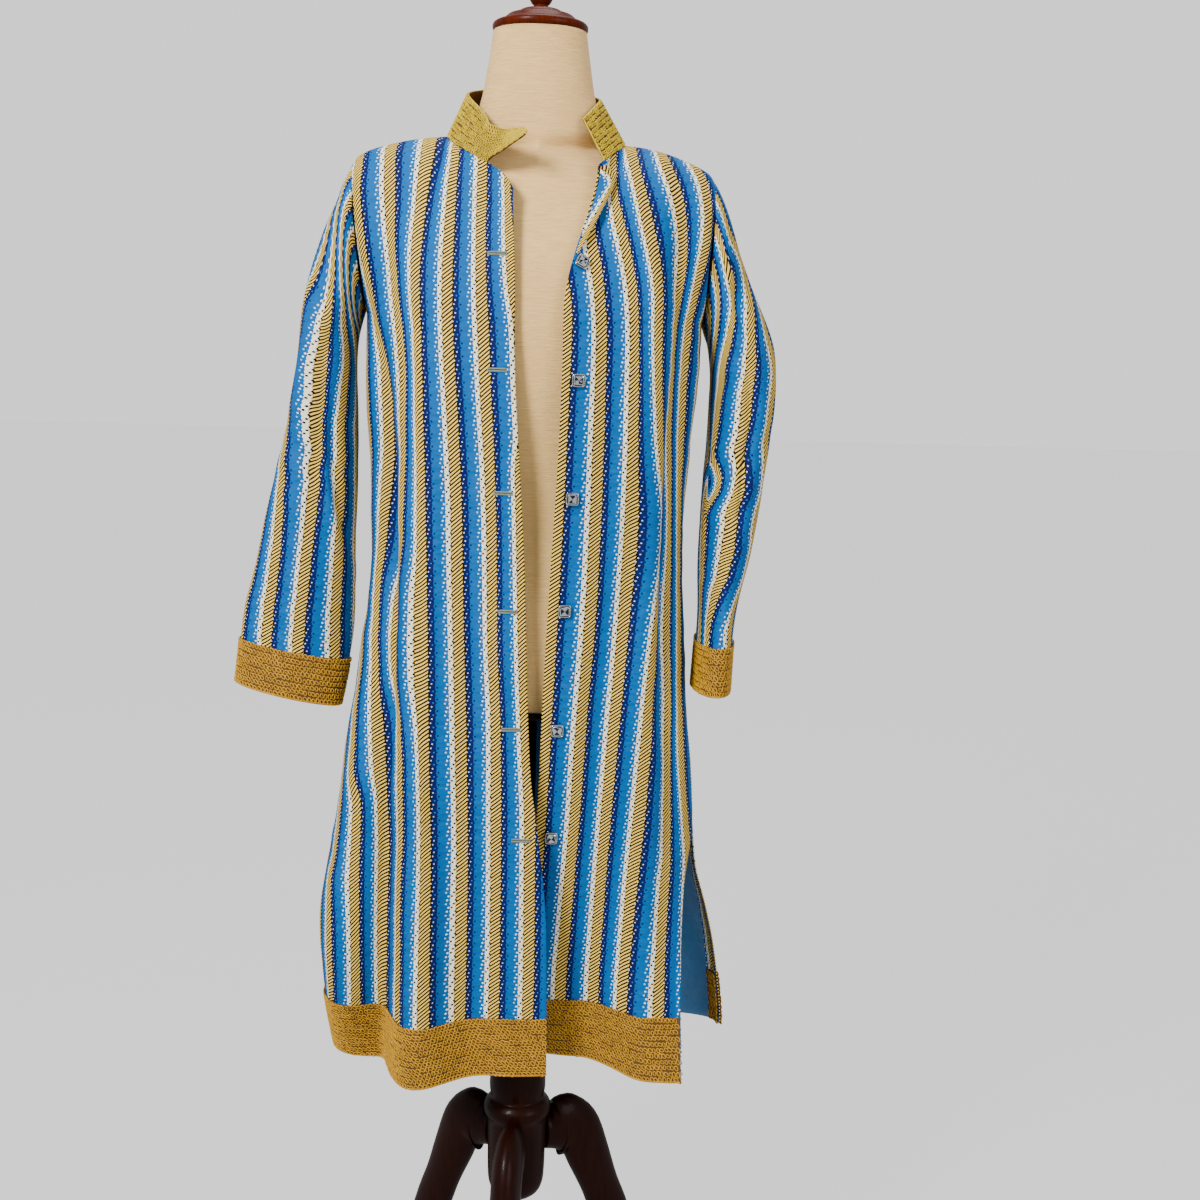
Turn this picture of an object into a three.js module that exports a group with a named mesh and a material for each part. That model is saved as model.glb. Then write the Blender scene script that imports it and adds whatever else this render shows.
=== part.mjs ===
// A long coat with a stand collar, worn open on a limbless dress form with a turned
// wooden tripod. Millimetres, +Z up, the wearer faces -Y and the wearer's right is -X.

import * as THREE from 'three';

// Cloth and seams
const clothWall = 2;
const collarWall = 2.4;
const liningWall = 1;
const bandWall = 1.7;
const seamGap = 0.3;
const lift = 0.4;

// Lengths
const armpitZ = 1212;
const slitTopZ = 660;
const hemZ = { front_right: 408, front_left: 414, back: 398 };
const hemTilt = { front_right: -9, front_left: -19 };
const bandHeight = 64;

// Grid steps
const panelColumns = 20;
const backColumns = 30;
const upperRows = 7;
const lowerStep = 66;
const sleeveSides = 22;

// Buttons and buttonholes
const button = { side: 13, height: 5.4, corner: 3.2, bevel: 1.3, inset: 16 };
const firstButton = { inset: 10, turn: -0.47, clear: 1 };
const buttonHeights = [1265, 1149, 1030, 914, 787, 668];
const buttonhole = { length: 19, height: 4, proud: 0.8, inset: 8 };
const buttonholeHeights = [1271, 1157, 1034, 913, 790, 671];

// Side seams from the armpit to the slit, then the free slit edges of each panel
const sideSeam = {
  right: [
    { z: 1212, x: -178, y: 8 }, { z: 1150, x: -177, y: 5 }, { z: 1080, x: -173, y: 3 },
    { z: 1010, x: -170, y: 1 }, { z: 940, x: -170, y: 0 }, { z: 880, x: -176, y: 0 },
    { z: 800, x: -187, y: 0 }, { z: 720, x: -199, y: 0 }, { z: 660, x: -206, y: 2 },
  ],
  left: [
    { z: 1212, x: 178, y: 6 }, { z: 1150, x: 177, y: 3 }, { z: 1080, x: 170, y: 0 },
    { z: 1010, x: 166, y: -2 }, { z: 940, x: 166, y: -4 }, { z: 880, x: 170, y: -6 },
    { z: 800, x: 176, y: -8 }, { z: 720, x: 184, y: -10 }, { z: 660, x: 188, y: -10 },
  ],
};
const slitEdge = {
  front_right: [
    { z: 660, x: -206, y: 2 }, { z: 600, x: -218, y: 1 }, { z: 550, x: -223, y: 5 },
    { z: 500, x: -220, y: 12 }, { z: 450, x: -215, y: 24 }, { z: 394, x: -210, y: 36 },
  ],
  front_left: [
    { z: 660, x: 188, y: -10 }, { z: 600, x: 178, y: -34 }, { z: 500, x: 175, y: -62 },
    { z: 450, x: 176, y: -75 }, { z: 394, x: 178, y: -88 },
  ],
  back_right: [
    { z: 660, x: -206, y: 2 }, { z: 600, x: -209, y: 16 }, { z: 550, x: -208, y: 30 },
    { z: 500, x: -206, y: 42 }, { z: 450, x: -203, y: 54 }, { z: 394, x: -200, y: 66 },
  ],
  back_left: [
    { z: 660, x: 188, y: -10 }, { z: 605, x: 197, y: 16 }, { z: 550, x: 213, y: 42 },
    { z: 500, x: 225, y: 58 }, { z: 430, x: 236, y: 69 }, { z: 394, x: 239, y: 72 },
  ],
};

// Centre-front edges, and the depth of each panel on the centre line
const centreEdge = {
  front_right: [
    { z: 1336, x: -24 }, { z: 1257, x: -21 }, { z: 1150, x: -18 }, { z: 1050, x: -11 },
    { z: 960, x: -5 }, { z: 824, x: 1 }, { z: 740, x: 6 }, { z: 696, x: 12 },
    { z: 612, x: 23 }, { z: 547, x: 27 }, { z: 394, x: 30 },
  ],
  front_left: [
    { z: 1362, x: 62 }, { z: 1312, x: 47 }, { z: 1276, x: 34 }, { z: 1248, x: 30 },
    { z: 1150, x: 29.5 }, { z: 1050, x: 27 }, { z: 960, x: 23 }, { z: 824, x: 18 },
    { z: 740, x: 16 }, { z: 682, x: 14 }, { z: 394, x: 10 },
  ],
};
const panelDepth = [
  { z: 1212, front_right: -117, front_left: -117, back: 99 },
  { z: 1150, front_right: -117, front_left: -116, back: 94 },
  { z: 1080, front_right: -114, front_left: -112, back: 88 },
  { z: 1010, front_right: -111, front_left: -108, back: 85 },
  { z: 940, front_right: -110, front_left: -104, back: 88 },
  { z: 860, front_right: -110, front_left: -100, back: 95 },
  { z: 760, front_right: -108, front_left: -92, back: 103 },
  { z: 660, front_right: -104, front_left: -79, back: 110 },
  { z: 540, front_right: -99, front_left: -60, back: 116 },
  { z: 394, front_right: -93, front_left: -38, back: 122 },
];

// How square each level section is, from 1 for a straight line to 2.5 for a full corner
const sectionPowers = [
  { z: 760, front_right: 2.5, front_left: 2.5, back: 2.5 },
  { z: 600, front_right: 2.5, front_left: 1.9, back: 2.5 },
  { z: 394, front_right: 2.5, front_left: 1.25, back: 2.5 },
];

// Large folds: a ridge stands out of the panel and a trough, below zero, goes in
const folds = {
  front_right: [
    [{ z: 1212, x: -120, out: 0, wide: 26 }, { z: 1100, x: -120, out: 5, wide: 26 },
      { z: 800, x: -115, out: 12, wide: 26 }, { z: 600, x: -110, out: 23, wide: 27 },
      { z: 394, x: -102, out: 39, wide: 31 }],
    [{ z: 1212, x: -170, out: -3, wide: 12 }, { z: 1120, x: -150, out: -10, wide: 12 },
      { z: 950, x: -147, out: -13, wide: 12 }, { z: 750, x: -148, out: -16, wide: 14 },
      { z: 550, x: -155, out: -21, wide: 20 }, { z: 394, x: -168, out: -29, wide: 28 }],
    [{ z: 900, x: -165, out: 0, wide: 14 }, { z: 700, x: -182, out: 5, wide: 14 },
      { z: 550, x: -198, out: 8, wide: 16 }, { z: 394, x: -196, out: 0, wide: 16 }],
    [{ z: 1212, x: -58, out: -1, wide: 20 }, { z: 900, x: -52, out: -4, wide: 20 },
      { z: 394, x: -40, out: -5, wide: 24 }],
  ],
  front_left: [
    [{ z: 1212, x: 150, out: -5, wide: 10 }, { z: 1100, x: 147, out: -9, wide: 9 },
      { z: 900, x: 146, out: -9, wide: 9 }, { z: 700, x: 155, out: -5, wide: 12 },
      { z: 600, x: 158, out: 0, wide: 12 }],
    [{ z: 1212, x: 126, out: 3, wide: 14 }, { z: 1000, x: 124, out: 5, wide: 14 },
      { z: 700, x: 130, out: 8, wide: 20 }, { z: 394, x: 138, out: 20, wide: 30 }],
    [{ z: 1212, x: 80, out: -2, wide: 18 }, { z: 900, x: 80, out: -4, wide: 18 },
      { z: 394, x: 72, out: -8, wide: 24 }],
  ],
  back: [
    [{ z: 1212, x: -110, out: -3, wide: 22 }, { z: 900, x: -108, out: -9, wide: 22 },
      { z: 394, x: -120, out: -18, wide: 28 }],
    [{ z: 1212, x: -66, out: 2, wide: 24 }, { z: 900, x: -60, out: 6, wide: 24 },
      { z: 394, x: -62, out: 14, wide: 30 }],
    [{ z: 1212, x: 6, out: -1, wide: 22 }, { z: 900, x: 4, out: -5, wide: 22 },
      { z: 394, x: -2, out: -14, wide: 30 }],
    [{ z: 1212, x: 70, out: 2, wide: 24 }, { z: 900, x: 66, out: 6, wide: 24 },
      { z: 394, x: 72, out: 16, wide: 30 }],
    [{ z: 1212, x: 112, out: -3, wide: 20 }, { z: 900, x: 110, out: -8, wide: 20 },
      { z: 394, x: 132, out: -14, wide: 30 }],
  ],
};

// Shoulder seams from the side of the neck (share 0) to the sleeve (share 1)
const shoulderLine = {
  right: [
    { share: 0, x: -94, y: -6, z: 1396 }, { share: 0.25, x: -118, y: -3, z: 1394 },
    { share: 0.5, x: -142, y: 0, z: 1390 }, { share: 0.75, x: -168, y: 3, z: 1383.5 },
    { share: 0.92, x: -186, y: 5, z: 1375.5 }, { share: 1, x: -193, y: 5, z: 1368.5 },
  ],
  left: [
    { share: 0, x: 91, y: -6, z: 1393 }, { share: 0.25, x: 114, y: -3, z: 1391 },
    { share: 0.5, x: 138, y: 0, z: 1386 }, { share: 0.75, x: 163, y: 3, z: 1377.5 },
    { share: 0.92, x: 181, y: 5, z: 1368.5 }, { share: 1, x: 188, y: 5, z: 1361.5 },
  ],
};

// Necklines, share 0 at the centre edge and 1 at the shoulder seam
const neckline = {
  front_right: [
    { share: 0, x: -24, y: -98, z: 1336 }, { share: 0.16, x: -31, y: -93, z: 1347 },
    { share: 0.34, x: -43, y: -84, z: 1357 }, { share: 0.5, x: -57, y: -73, z: 1366 },
    { share: 0.7, x: -74, y: -54, z: 1376.5 }, { share: 0.86, x: -88, y: -30, z: 1387.5 },
    { share: 1, x: -94, y: -6, z: 1396 },
  ],
  front_left: [
    { share: 0, x: 62, y: -70, z: 1364 }, { share: 0.3, x: 70, y: -57, z: 1372 },
    { share: 0.65, x: 83, y: -34, z: 1384 }, { share: 1, x: 91, y: -6, z: 1393 },
  ],
  back_right: [
    { share: 0, x: 0, y: 72, z: 1413 }, { share: 0.34, x: -40, y: 66, z: 1411 },
    { share: 0.62, x: -72, y: 44, z: 1406 }, { share: 0.84, x: -90, y: 16, z: 1400 },
    { share: 1, x: -94, y: -6, z: 1396 },
  ],
  back_left: [
    { share: 0, x: 0, y: 72, z: 1413 }, { share: 0.34, x: 38, y: 66, z: 1411 },
    { share: 0.62, x: 69, y: 44, z: 1405 }, { share: 0.84, x: 87, y: 16, z: 1398 },
    { share: 1, x: 91, y: -6, z: 1393 },
  ],
};
// Grid steps from the centre edge or the centre back to the side of the neck
const neckSteps = { front_right: 9, front_left: 4, back_right: 7, back_left: 7 };

// Collar: its foot follows the necklines, its top edge leans in towards the neck
const collarTop = {
  front_right: [
    { share: 0.44, x: -49, y: -74, z: 1399 }, { share: 0.7, x: -58, y: -53, z: 1416 },
    { share: 0.86, x: -69, y: -32, z: 1429 }, { share: 1, x: -74, y: -8, z: 1439 },
  ],
  back_right: [
    { share: 0, x: 0, y: 57, z: 1460 }, { share: 0.34, x: -33, y: 53, z: 1457 },
    { share: 0.62, x: -59, y: 36, z: 1451 }, { share: 0.84, x: -72, y: 14, z: 1445 },
    { share: 1, x: -74, y: -8, z: 1439 },
  ],
  back_left: [
    { share: 0, x: 0, y: 57, z: 1460 }, { share: 0.34, x: 30, y: 52, z: 1456 },
    { share: 0.62, x: 52, y: 34, z: 1449 }, { share: 0.84, x: 62.5, y: 14, z: 1443 },
    { share: 1, x: 64, y: -8, z: 1437 },
  ],
  front_left: [
    { share: 0.25, x: 46, y: -57, z: 1411 }, { share: 0.65, x: 58, y: -32, z: 1427 },
    { share: 1, x: 64, y: -8, z: 1437 },
  ],
};
const collarStart = { front_right: 4, front_left: 1 };

// The collar's free end on the wearer's right, sprung off the neckline
const collarTip = [
  { x: -47, y: -83, z: 1367, topX: -41, topY: -79, topZ: 1396 },
  { x: -37, y: -93, z: 1372, topX: -32, topY: -88, topZ: 1392.5 },
  { x: -27, y: -103, z: 1378, topX: -23, topY: -99, topZ: 1392 },
  { x: -19, y: -110, z: 1382.5, topX: -16, topY: -107, topZ: 1391.5 },
  { x: -14, y: -114, z: 1386, topX: -12, topY: -112, topZ: 1390 },
];

// The facing turned out at the top of the wearer's left front, from its fold line
const turnedFacing = [
  { rise: 0.36, width: 2, proud: 2 }, { rise: 0.56, width: 11, proud: 5 },
  { rise: 0.7, width: 17, proud: 7 }, { rise: 0.82, width: 23, proud: 8 },
  { rise: 0.92, width: 13, proud: 5 }, { rise: 0.985, width: 3, proud: 3 },
];
const facingRows = 10;
const facingColumns = 5;

// Sleeves: the outer and inner side of each ring, and how far it reaches front and back
const sleeveRings = {
  right: [
    { outX: -205, outZ: 1338, inX: -182.5, inZ: 1203, front: -54, back: 64 },
    { outX: -225, outZ: 1287, inX: -186, inZ: 1187, front: -59, back: 68 },
    { outX: -241, outZ: 1234, inX: -187, inZ: 1165, front: -61, back: 68 },
    { outX: -249, outZ: 1168, inX: -186, inZ: 1130, front: -62, back: 66 },
    { outX: -259, outZ: 1102, inX: -185, inZ: 1082, front: -59, back: 62 },
    { outX: -271, outZ: 1050, inX: -185, inZ: 1035, front: -55, back: 56 },
    { outX: -282, outZ: 1000, inX: -186, inZ: 985, front: -51, back: 49 },
    { outX: -294, outZ: 943, inX: -187, inZ: 928, front: -46, back: 42 },
    { outX: -304, outZ: 900, inX: -188, inZ: 880, front: -41, back: 35 },
    { outX: -309, outZ: 864, inX: -192, inZ: 843, front: -37, back: 29 },
    { outX: -314, outZ: 817, inX: -202, inZ: 793, front: -36, back: 26 },
  ],
  left: [
    { outX: 201, outZ: 1332, inX: 182.5, inZ: 1200, front: -52, back: 66 },
    { outX: 217, outZ: 1284, inX: 187, inZ: 1188, front: -56, back: 70 },
    { outX: 238, outZ: 1236, inX: 190, inZ: 1168, front: -58, back: 72 },
    { outX: 257, outZ: 1186, inX: 191, inZ: 1140, front: -58, back: 72 },
    { outX: 261, outZ: 1128, inX: 190, inZ: 1098, front: -58, back: 72 },
    { outX: 254, outZ: 1062, inX: 187, inZ: 1045, front: -60, back: 72 },
    { outX: 246, outZ: 1002, inX: 185, inZ: 990, front: -62, back: 70 },
    { outX: 236, outZ: 950, inX: 185, inZ: 940, front: -64, back: 66 },
    { outX: 227, outZ: 912, inX: 186, inZ: 908, front: -66, back: 62 },
    { outX: 223, outZ: 872, inX: 185, inZ: 871, front: -68, back: 58 },
    { outX: 221, outZ: 820, inX: 182.5, inZ: 820, front: -68, back: 56 },
  ],
};
const sleeveFolds = {
  right: [
    { side: 60, step: 4.4, long: 1.4, wide: 26, out: 5 },
    { side: 98, step: 5.4, long: 1.9, wide: 20, out: -8 },
    { side: 285, step: 5, long: 2, wide: 24, out: -7 },
    { side: 250, step: 2.4, long: 1.1, wide: 26, out: -6 },
  ],
  left: [
    { side: 70, step: 2.5, long: 0.8, wide: 26, out: -6 },
    { side: 90, step: 5.2, long: 1.8, wide: 24, out: -5 },
    { side: 275, step: 5.4, long: 1.7, wide: 24, out: -6 },
    { side: 300, step: 2.8, long: 1, wide: 28, out: -6 },
  ],
};
const collarRows = 3;
const bandRows = 3;
const cuffRows = 2;
const liningRows = 7;

// Dress form: half width, front and back of each level section, and how square it is
const formLevels = [
  { z: 800.8, half: 138, front: -76, back: 68, power: 2.2 },
  { z: 806, half: 146, front: -83, back: 75, power: 2.2 },
  { z: 850, half: 152, front: -88, back: 78, power: 2.2 },
  { z: 905, half: 148, front: -88, back: 74, power: 2.2 },
  { z: 960, half: 134, front: -84, back: 64, power: 2.2 },
  { z: 1010, half: 127, front: -82, back: 58, power: 2.2 },
  { z: 1080, half: 133, front: -88, back: 62, power: 2.2 },
  { z: 1150, half: 145, front: -100, back: 70, power: 2.2 },
  { z: 1210, half: 153, front: -106, back: 78, power: 2.2 },
  { z: 1260, half: 157, front: -102, back: 82, power: 2.2 },
  { z: 1300, half: 162, front: -90, back: 78, power: 2.0 },
  { z: 1335, half: 166, front: -77.5, back: 65.5, power: 1.6 },
  { z: 1356, half: 165, front: -70, back: 55, power: 1.3 },
  { z: 1366, half: 159, front: -67, back: 49, power: 1.15 },
  { z: 1373, half: 149, front: -64, back: 45, power: 1.05 },
  { z: 1379.7, half: 128, front: -61, back: 42, power: 1 },
  { z: 1384, half: 103.5, front: -59, back: 36, power: 1.05 },
  { z: 1387.3, half: 85.5, front: -58, back: 40, power: 1.25 },
  { z: 1393, half: 78, front: -58, back: 50, power: 1.6 },
  { z: 1400, half: 74, front: -57, back: 55, power: 2.0 },
  { z: 1412, half: 67, front: -56, back: 54, power: 2.2 },
  { z: 1438, half: 59, front: -54, back: 51, power: 2.2 },
  { z: 1470, half: 53.5, front: -50, back: 47, power: 2.2 },
  { z: 1504, half: 48.5, front: -46, back: 44, power: 2.2 },
];
const formSides = 28;

// Turned wood: radius and height of each step of a profile
const capProfile = [
  { r: 0, z: 1504.3 }, { r: 48, z: 1504.3 }, { r: 49.7, z: 1507 }, { r: 49.7, z: 1511 },
  { r: 47, z: 1513.5 }, { r: 40, z: 1515 }, { r: 36, z: 1519 }, { r: 33, z: 1521.5 },
  { r: 24, z: 1523 }, { r: 21, z: 1526.5 }, { r: 12, z: 1528.5 }, { r: 0, z: 1528.5 },
];
const finialProfile = [
  { r: 0, z: 1528.8 }, { r: 9, z: 1528.8 }, { r: 7, z: 1531 }, { r: 9.5, z: 1533 },
  { r: 12, z: 1537 }, { r: 12.4, z: 1541 }, { r: 10.5, z: 1546.5 }, { r: 6, z: 1550.4 },
  { r: 0, z: 1552 },
];
const baseProfile = [
  { r: 0, z: 780 }, { r: 24, z: 780 }, { r: 27, z: 789 }, { r: 72, z: 791 },
  { r: 76, z: 795 }, { r: 76, z: 800.5 }, { r: 0, z: 800.5 },
];
const poleProfile = [
  { r: 0, z: 452.3 }, { r: 12.5, z: 452.3 }, { r: 12.5, z: 779.7 }, { r: 0, z: 779.7 },
];
const columnProfile = [
  { r: 0, z: 219 }, { r: 17, z: 221 }, { r: 28, z: 230 }, { r: 32.5, z: 245 },
  { r: 33, z: 315 }, { r: 35, z: 319 }, { r: 38, z: 325 }, { r: 38, z: 333 },
  { r: 34, z: 339 }, { r: 30, z: 342 }, { r: 32, z: 354 }, { r: 31, z: 372 },
  { r: 25, z: 392 }, { r: 20, z: 402 }, { r: 26, z: 410 }, { r: 26, z: 416 },
  { r: 19, z: 424 }, { r: 17, z: 452 }, { r: 0, z: 452 },
];
const turnedSides = 20;

// Tripod legs: the path's distance from the pole, its height, and the section there
const legPath = [
  { reach: 33.6, z: 292, wide: 15, deep: 21 }, { reach: 41, z: 292, wide: 15.5, deep: 23.5 },
  { reach: 50, z: 293.5, wide: 16.3, deep: 32 }, { reach: 60, z: 294.5, wide: 17, deep: 37 },
  { reach: 77, z: 285, wide: 17, deep: 29 }, { reach: 92, z: 250.5, wide: 16.5, deep: 26 },
  { reach: 106.5, z: 214.5, wide: 15.5, deep: 23 }, { reach: 119, z: 183, wide: 15, deep: 23.3 },
  { reach: 132, z: 150, wide: 14.5, deep: 22 }, { reach: 149, z: 112, wide: 14, deep: 20 },
  { reach: 172, z: 70, wide: 13.5, deep: 18 }, { reach: 203, z: 36, wide: 14, deep: 17 },
  { reach: 236, z: 12, wide: 16, deep: 15 }, { reach: 256, z: 6, wide: 15, deep: 9 },
];
const legAngles = { leg_front: -97, leg_back_right: 143, leg_back_left: 23 };
const legSides = 12;
const legSteps = 26;

const colours = {
  cloth: 0x1b84c4, braid: 0xc9971d, lining: 0x2b77b8, linen: 0xeeddc0,
  wood: 0x3b1408, glass: 0xdfe9ee, pipe: 0x6f7f68, pole: 0x1c1614,
};

// Smooth value of one column of a table, by the table's own key
function tableAt(rows, key, column, at) {
  const rising = rows[rows.length - 1][key] > rows[0][key];
  const list = rising ? rows : [...rows].reverse();
  const first = list[0];
  const last = list[list.length - 1];
  if (at <= first[key]) return first[column];
  if (at >= last[key]) return last[column];
  let i = 0;
  while (list[i + 1][key] < at) i += 1;
  const a = list[i];
  const b = list[i + 1];
  const before = list[Math.max(i - 1, 0)];
  const after = list[Math.min(i + 2, list.length - 1)];
  const span = b[key] - a[key];
  const slopeA = (b[column] - before[column]) / (b[key] - before[key]);
  const slopeB = (after[column] - a[column]) / (after[key] - a[key]);
  const t = (at - a[key]) / span;
  const t2 = t * t;
  const t3 = t2 * t;
  return (2 * t3 - 3 * t2 + 1) * a[column] + (t3 - 2 * t2 + t) * span * slopeA
    + (3 * t2 - 2 * t3) * b[column] + (t3 - t2) * span * slopeB;
}

// A point whose coordinates are columns of a table
function pointAt(rows, key, at, columns = ['x', 'y', 'z']) {
  return new THREE.Vector3(...columns.map((column) => (
    column === key ? at : tableAt(rows, key, column, at))));
}

function smoothStep(low, high, value) {
  return THREE.MathUtils.smoothstep(value, low, high);
}

// A closed wall: the outer points, the same points moved in, and the strips between
function wallFromGrid(outer, inner, closedAround) {
  const rows = outer.length;
  const columns = outer[0].length;
  const positions = [];
  for (const layer of [outer, inner]) {
    for (const row of layer) {
      for (const point of row) positions.push(point.x, point.y, point.z);
    }
  }
  const index = [];
  const outerAt = (i, j) => i * columns + (j % columns);
  const innerAt = (i, j) => rows * columns + outerAt(i, j);
  const quad = (a, b, c, d) => index.push(a, b, c, a, c, d);
  const steps = closedAround ? columns : columns - 1;
  for (let i = 0; i < rows - 1; i += 1) {
    for (let j = 0; j < steps; j += 1) {
      quad(outerAt(i, j), outerAt(i, j + 1), outerAt(i + 1, j + 1), outerAt(i + 1, j));
      quad(innerAt(i, j), innerAt(i + 1, j), innerAt(i + 1, j + 1), innerAt(i, j + 1));
    }
    if (!closedAround) {
      const end = columns - 1;
      quad(outerAt(i, 0), outerAt(i + 1, 0), innerAt(i + 1, 0), innerAt(i, 0));
      quad(outerAt(i, end), innerAt(i, end), innerAt(i + 1, end), outerAt(i + 1, end));
    }
  }
  for (let j = 0; j < steps; j += 1) {
    const end = rows - 1;
    quad(outerAt(0, j), innerAt(0, j), innerAt(0, j + 1), outerAt(0, j + 1));
    quad(outerAt(end, j), outerAt(end, j + 1), innerAt(end, j + 1), innerAt(end, j));
  }
  return turnedOut(positions, index);
}

// Turns a closed mesh's faces outwards by the sign of its volume
function turnedOut(positions, index) {
  let volume = 0;
  const corner = (i) => new THREE.Vector3().fromArray(positions, index[i] * 3);
  for (let i = 0; i < index.length; i += 3) {
    volume += corner(i).dot(corner(i + 1).cross(corner(i + 2)));
  }
  const faces = volume > 0 ? index : [...index].reverse();
  const geometry = new THREE.BufferGeometry();
  geometry.setAttribute('position', new THREE.Float32BufferAttribute(positions, 3));
  geometry.setIndex(faces);
  geometry.computeVertexNormals();
  return geometry;
}

// Unit normals of a grid, all on the side of it where most of the hints point
function gridNormals(grid, closedAround, hint) {
  const rows = grid.length;
  const columns = grid[0].length;
  const normals = grid.map((row, i) => row.map((point, j) => {
    const nextJ = closedAround ? (j + 1) % columns : Math.min(j + 1, columns - 1);
    const lastJ = closedAround ? (j + columns - 1) % columns : Math.max(j - 1, 0);
    const across = row[nextJ].clone().sub(row[lastJ]);
    const down = grid[Math.min(i + 1, rows - 1)][j].clone().sub(grid[Math.max(i - 1, 0)][j]);
    return across.cross(down).normalize();
  }));
  let side = 0;
  normals.forEach((row, i) => row.forEach((normal, j) => { side += normal.dot(hint(grid[i][j])); }));
  if (side < 0) normals.flat().forEach((normal) => normal.negate());
  return normals;
}

function movedGrid(grid, normals, distance) {
  return grid.map((row, i) => row.map((point, j) => (
    point.clone().addScaledVector(normals[i][j], distance))));
}

// Points of a curve at equal steps along its length
function evenPoints(curve, count) {
  const fine = Array.from({ length: 121 }, (_, i) => curve(i / 120));
  const lengths = [0];
  for (let i = 1; i < fine.length; i += 1) {
    lengths.push(lengths[i - 1] + fine[i].distanceTo(fine[i - 1]));
  }
  const total = lengths[lengths.length - 1];
  return Array.from({ length: count }, (_, k) => {
    const at = (total * k) / (count - 1);
    let i = 1;
    while (i < fine.length - 1 && lengths[i] < at) i += 1;
    const t = (at - lengths[i - 1]) / (lengths[i] - lengths[i - 1]);
    return fine[i - 1].clone().lerp(fine[i], t);
  });
}

function edgeAt(panel, side, z) {
  const rows = z >= slitTopZ ? sideSeam[side] : slitEdge[`${panel}_${side}`];
  const point = pointAt(rows, 'z', z);
  point.y += panel === 'front' ? -seamGap / 2 : seamGap / 2;
  return point;
}

// A level section from the centre line to a side edge; angle 0 is the centre line
function sectionPoint(edge, depth, angle, squareness) {
  const power = 2 / squareness;
  const across = Math.sign(angle) * Math.abs(Math.sin(angle)) ** power;
  const forward = Math.abs(Math.cos(angle)) ** power;
  return new THREE.Vector3(edge.x * across, edge.y + (depth - edge.y) * forward, edge.z);
}

function addFolds(points, name, z) {
  return points.map((point, j) => {
    const ahead = points[Math.min(j + 1, points.length - 1)];
    const behind = points[Math.max(j - 1, 0)];
    const along = ahead.clone().sub(behind);
    const normal = new THREE.Vector3(-along.y, along.x, 0).normalize();
    if (normal.y * (name === 'back' ? 1 : -1) < 0) normal.negate();
    let out = 0;
    for (const fold of folds[name]) {
      const centre = tableAt(fold, 'z', 'x', z);
      const wide = tableAt(fold, 'z', 'wide', z);
      const starts = z > fold[0].z ? 0 : 1;
      const reach = (point.x - centre) / wide;
      out += starts * tableAt(fold, 'z', 'out', z) * Math.exp(-reach * reach);
    }
    const share = j / (points.length - 1);
    const held = smoothStep(0, 0.07, share) * smoothStep(0, 0.07, 1 - share);
    return point.clone().addScaledVector(normal, out * held);
  });
}

function frontRow(side, z, count) {
  const name = `front_${side}`;
  const edge = edgeAt('front', side, z);
  const depth = tableAt(panelDepth, 'z', name, z);
  const centreX = tableAt(centreEdge[name], 'z', 'x', z);
  const square = tableAt(sectionPowers, 'z', name, z);
  const share = Math.min(Math.abs(centreX / edge.x), 1) ** (square / 2);
  const start = Math.sign(centreX / edge.x) * Math.asin(share);
  const curve = (t) => sectionPoint(edge, depth, start + (Math.PI / 2 - start) * t, square);
  const tilt = hemTilt[name] * smoothStep(0, 1, (slitTopZ - z) / (slitTopZ - hemZ[name]));
  const points = addFolds(evenPoints(curve, count), name, z);
  points.forEach((point, j) => { point.z += (tilt * j) / (count - 1); });
  return points;
}

function backRow(z, count) {
  const depth = tableAt(panelDepth, 'z', 'back', z);
  const right = edgeAt('back', 'right', z);
  const left = edgeAt('back', 'left', z);
  const square = tableAt(sectionPowers, 'z', 'back', z);
  const curve = (t) => {
    const angle = (t - 0.5) * Math.PI;
    return sectionPoint(angle < 0 ? right : left, depth, Math.abs(angle), square);
  };
  return addFolds(evenPoints(curve, count), 'back', z);
}

function shoulderPoint(panel, side, share) {
  const point = pointAt(shoulderLine[side], 'share', share);
  point.y += panel === 'front' ? -seamGap / 2 : seamGap / 2;
  return point;
}

// The share of a panel's width that lies on the neckline
function neckShare(name) {
  return neckSteps[name] / (name.startsWith('back') ? backColumns / 2 : panelColumns);
}

function topPoint(panel, side, share) {
  const name = `${panel}_${side}`;
  const split = neckShare(name);
  if (share > split + 0.001) return shoulderPoint(panel, side, (share - split) / (1 - split));
  const point = pointAt(neckline[name], 'share', share / split);
  const atSeam = smoothStep(0.8, 1, share / split);
  point.y += atSeam * (panel === 'front' ? -seamGap / 2 : seamGap / 2);
  return point;
}

// A column of the yoke, from the armpit level up to the shoulder or the neckline
function yokeCurve(low, high, panel, share, split) {
  const forward = panel === 'front' ? -1 : 1;
  const nearArm = smoothStep(0.6, 1, share);
  const onShoulder = smoothStep(split * 0.35, split * 1.15, share);
  const lowReach = new THREE.Vector3(0, forward * 62 * nearArm, 58 - 36 * nearArm);
  const highReach = new THREE.Vector3(
    0, forward * (10 + 52 * onShoulder), -(40 - 25 * onShoulder));
  return new THREE.CubicBezierCurve3(
    low, low.clone().add(lowReach), high.clone().add(highReach), high);
}

function yokePoint(low, panel, side, share, rise) {
  const high = topPoint(panel, side, share);
  return yokeCurve(low, high, panel, share, neckShare(`${panel}_${side}`)).getPoint(rise);
}

function levelsFrom(topZ, bottomZ, step) {
  const count = Math.ceil((topZ - bottomZ) / step);
  return Array.from({ length: count + 1 }, (_, i) => topZ + ((bottomZ - topZ) * i) / count);
}

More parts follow.
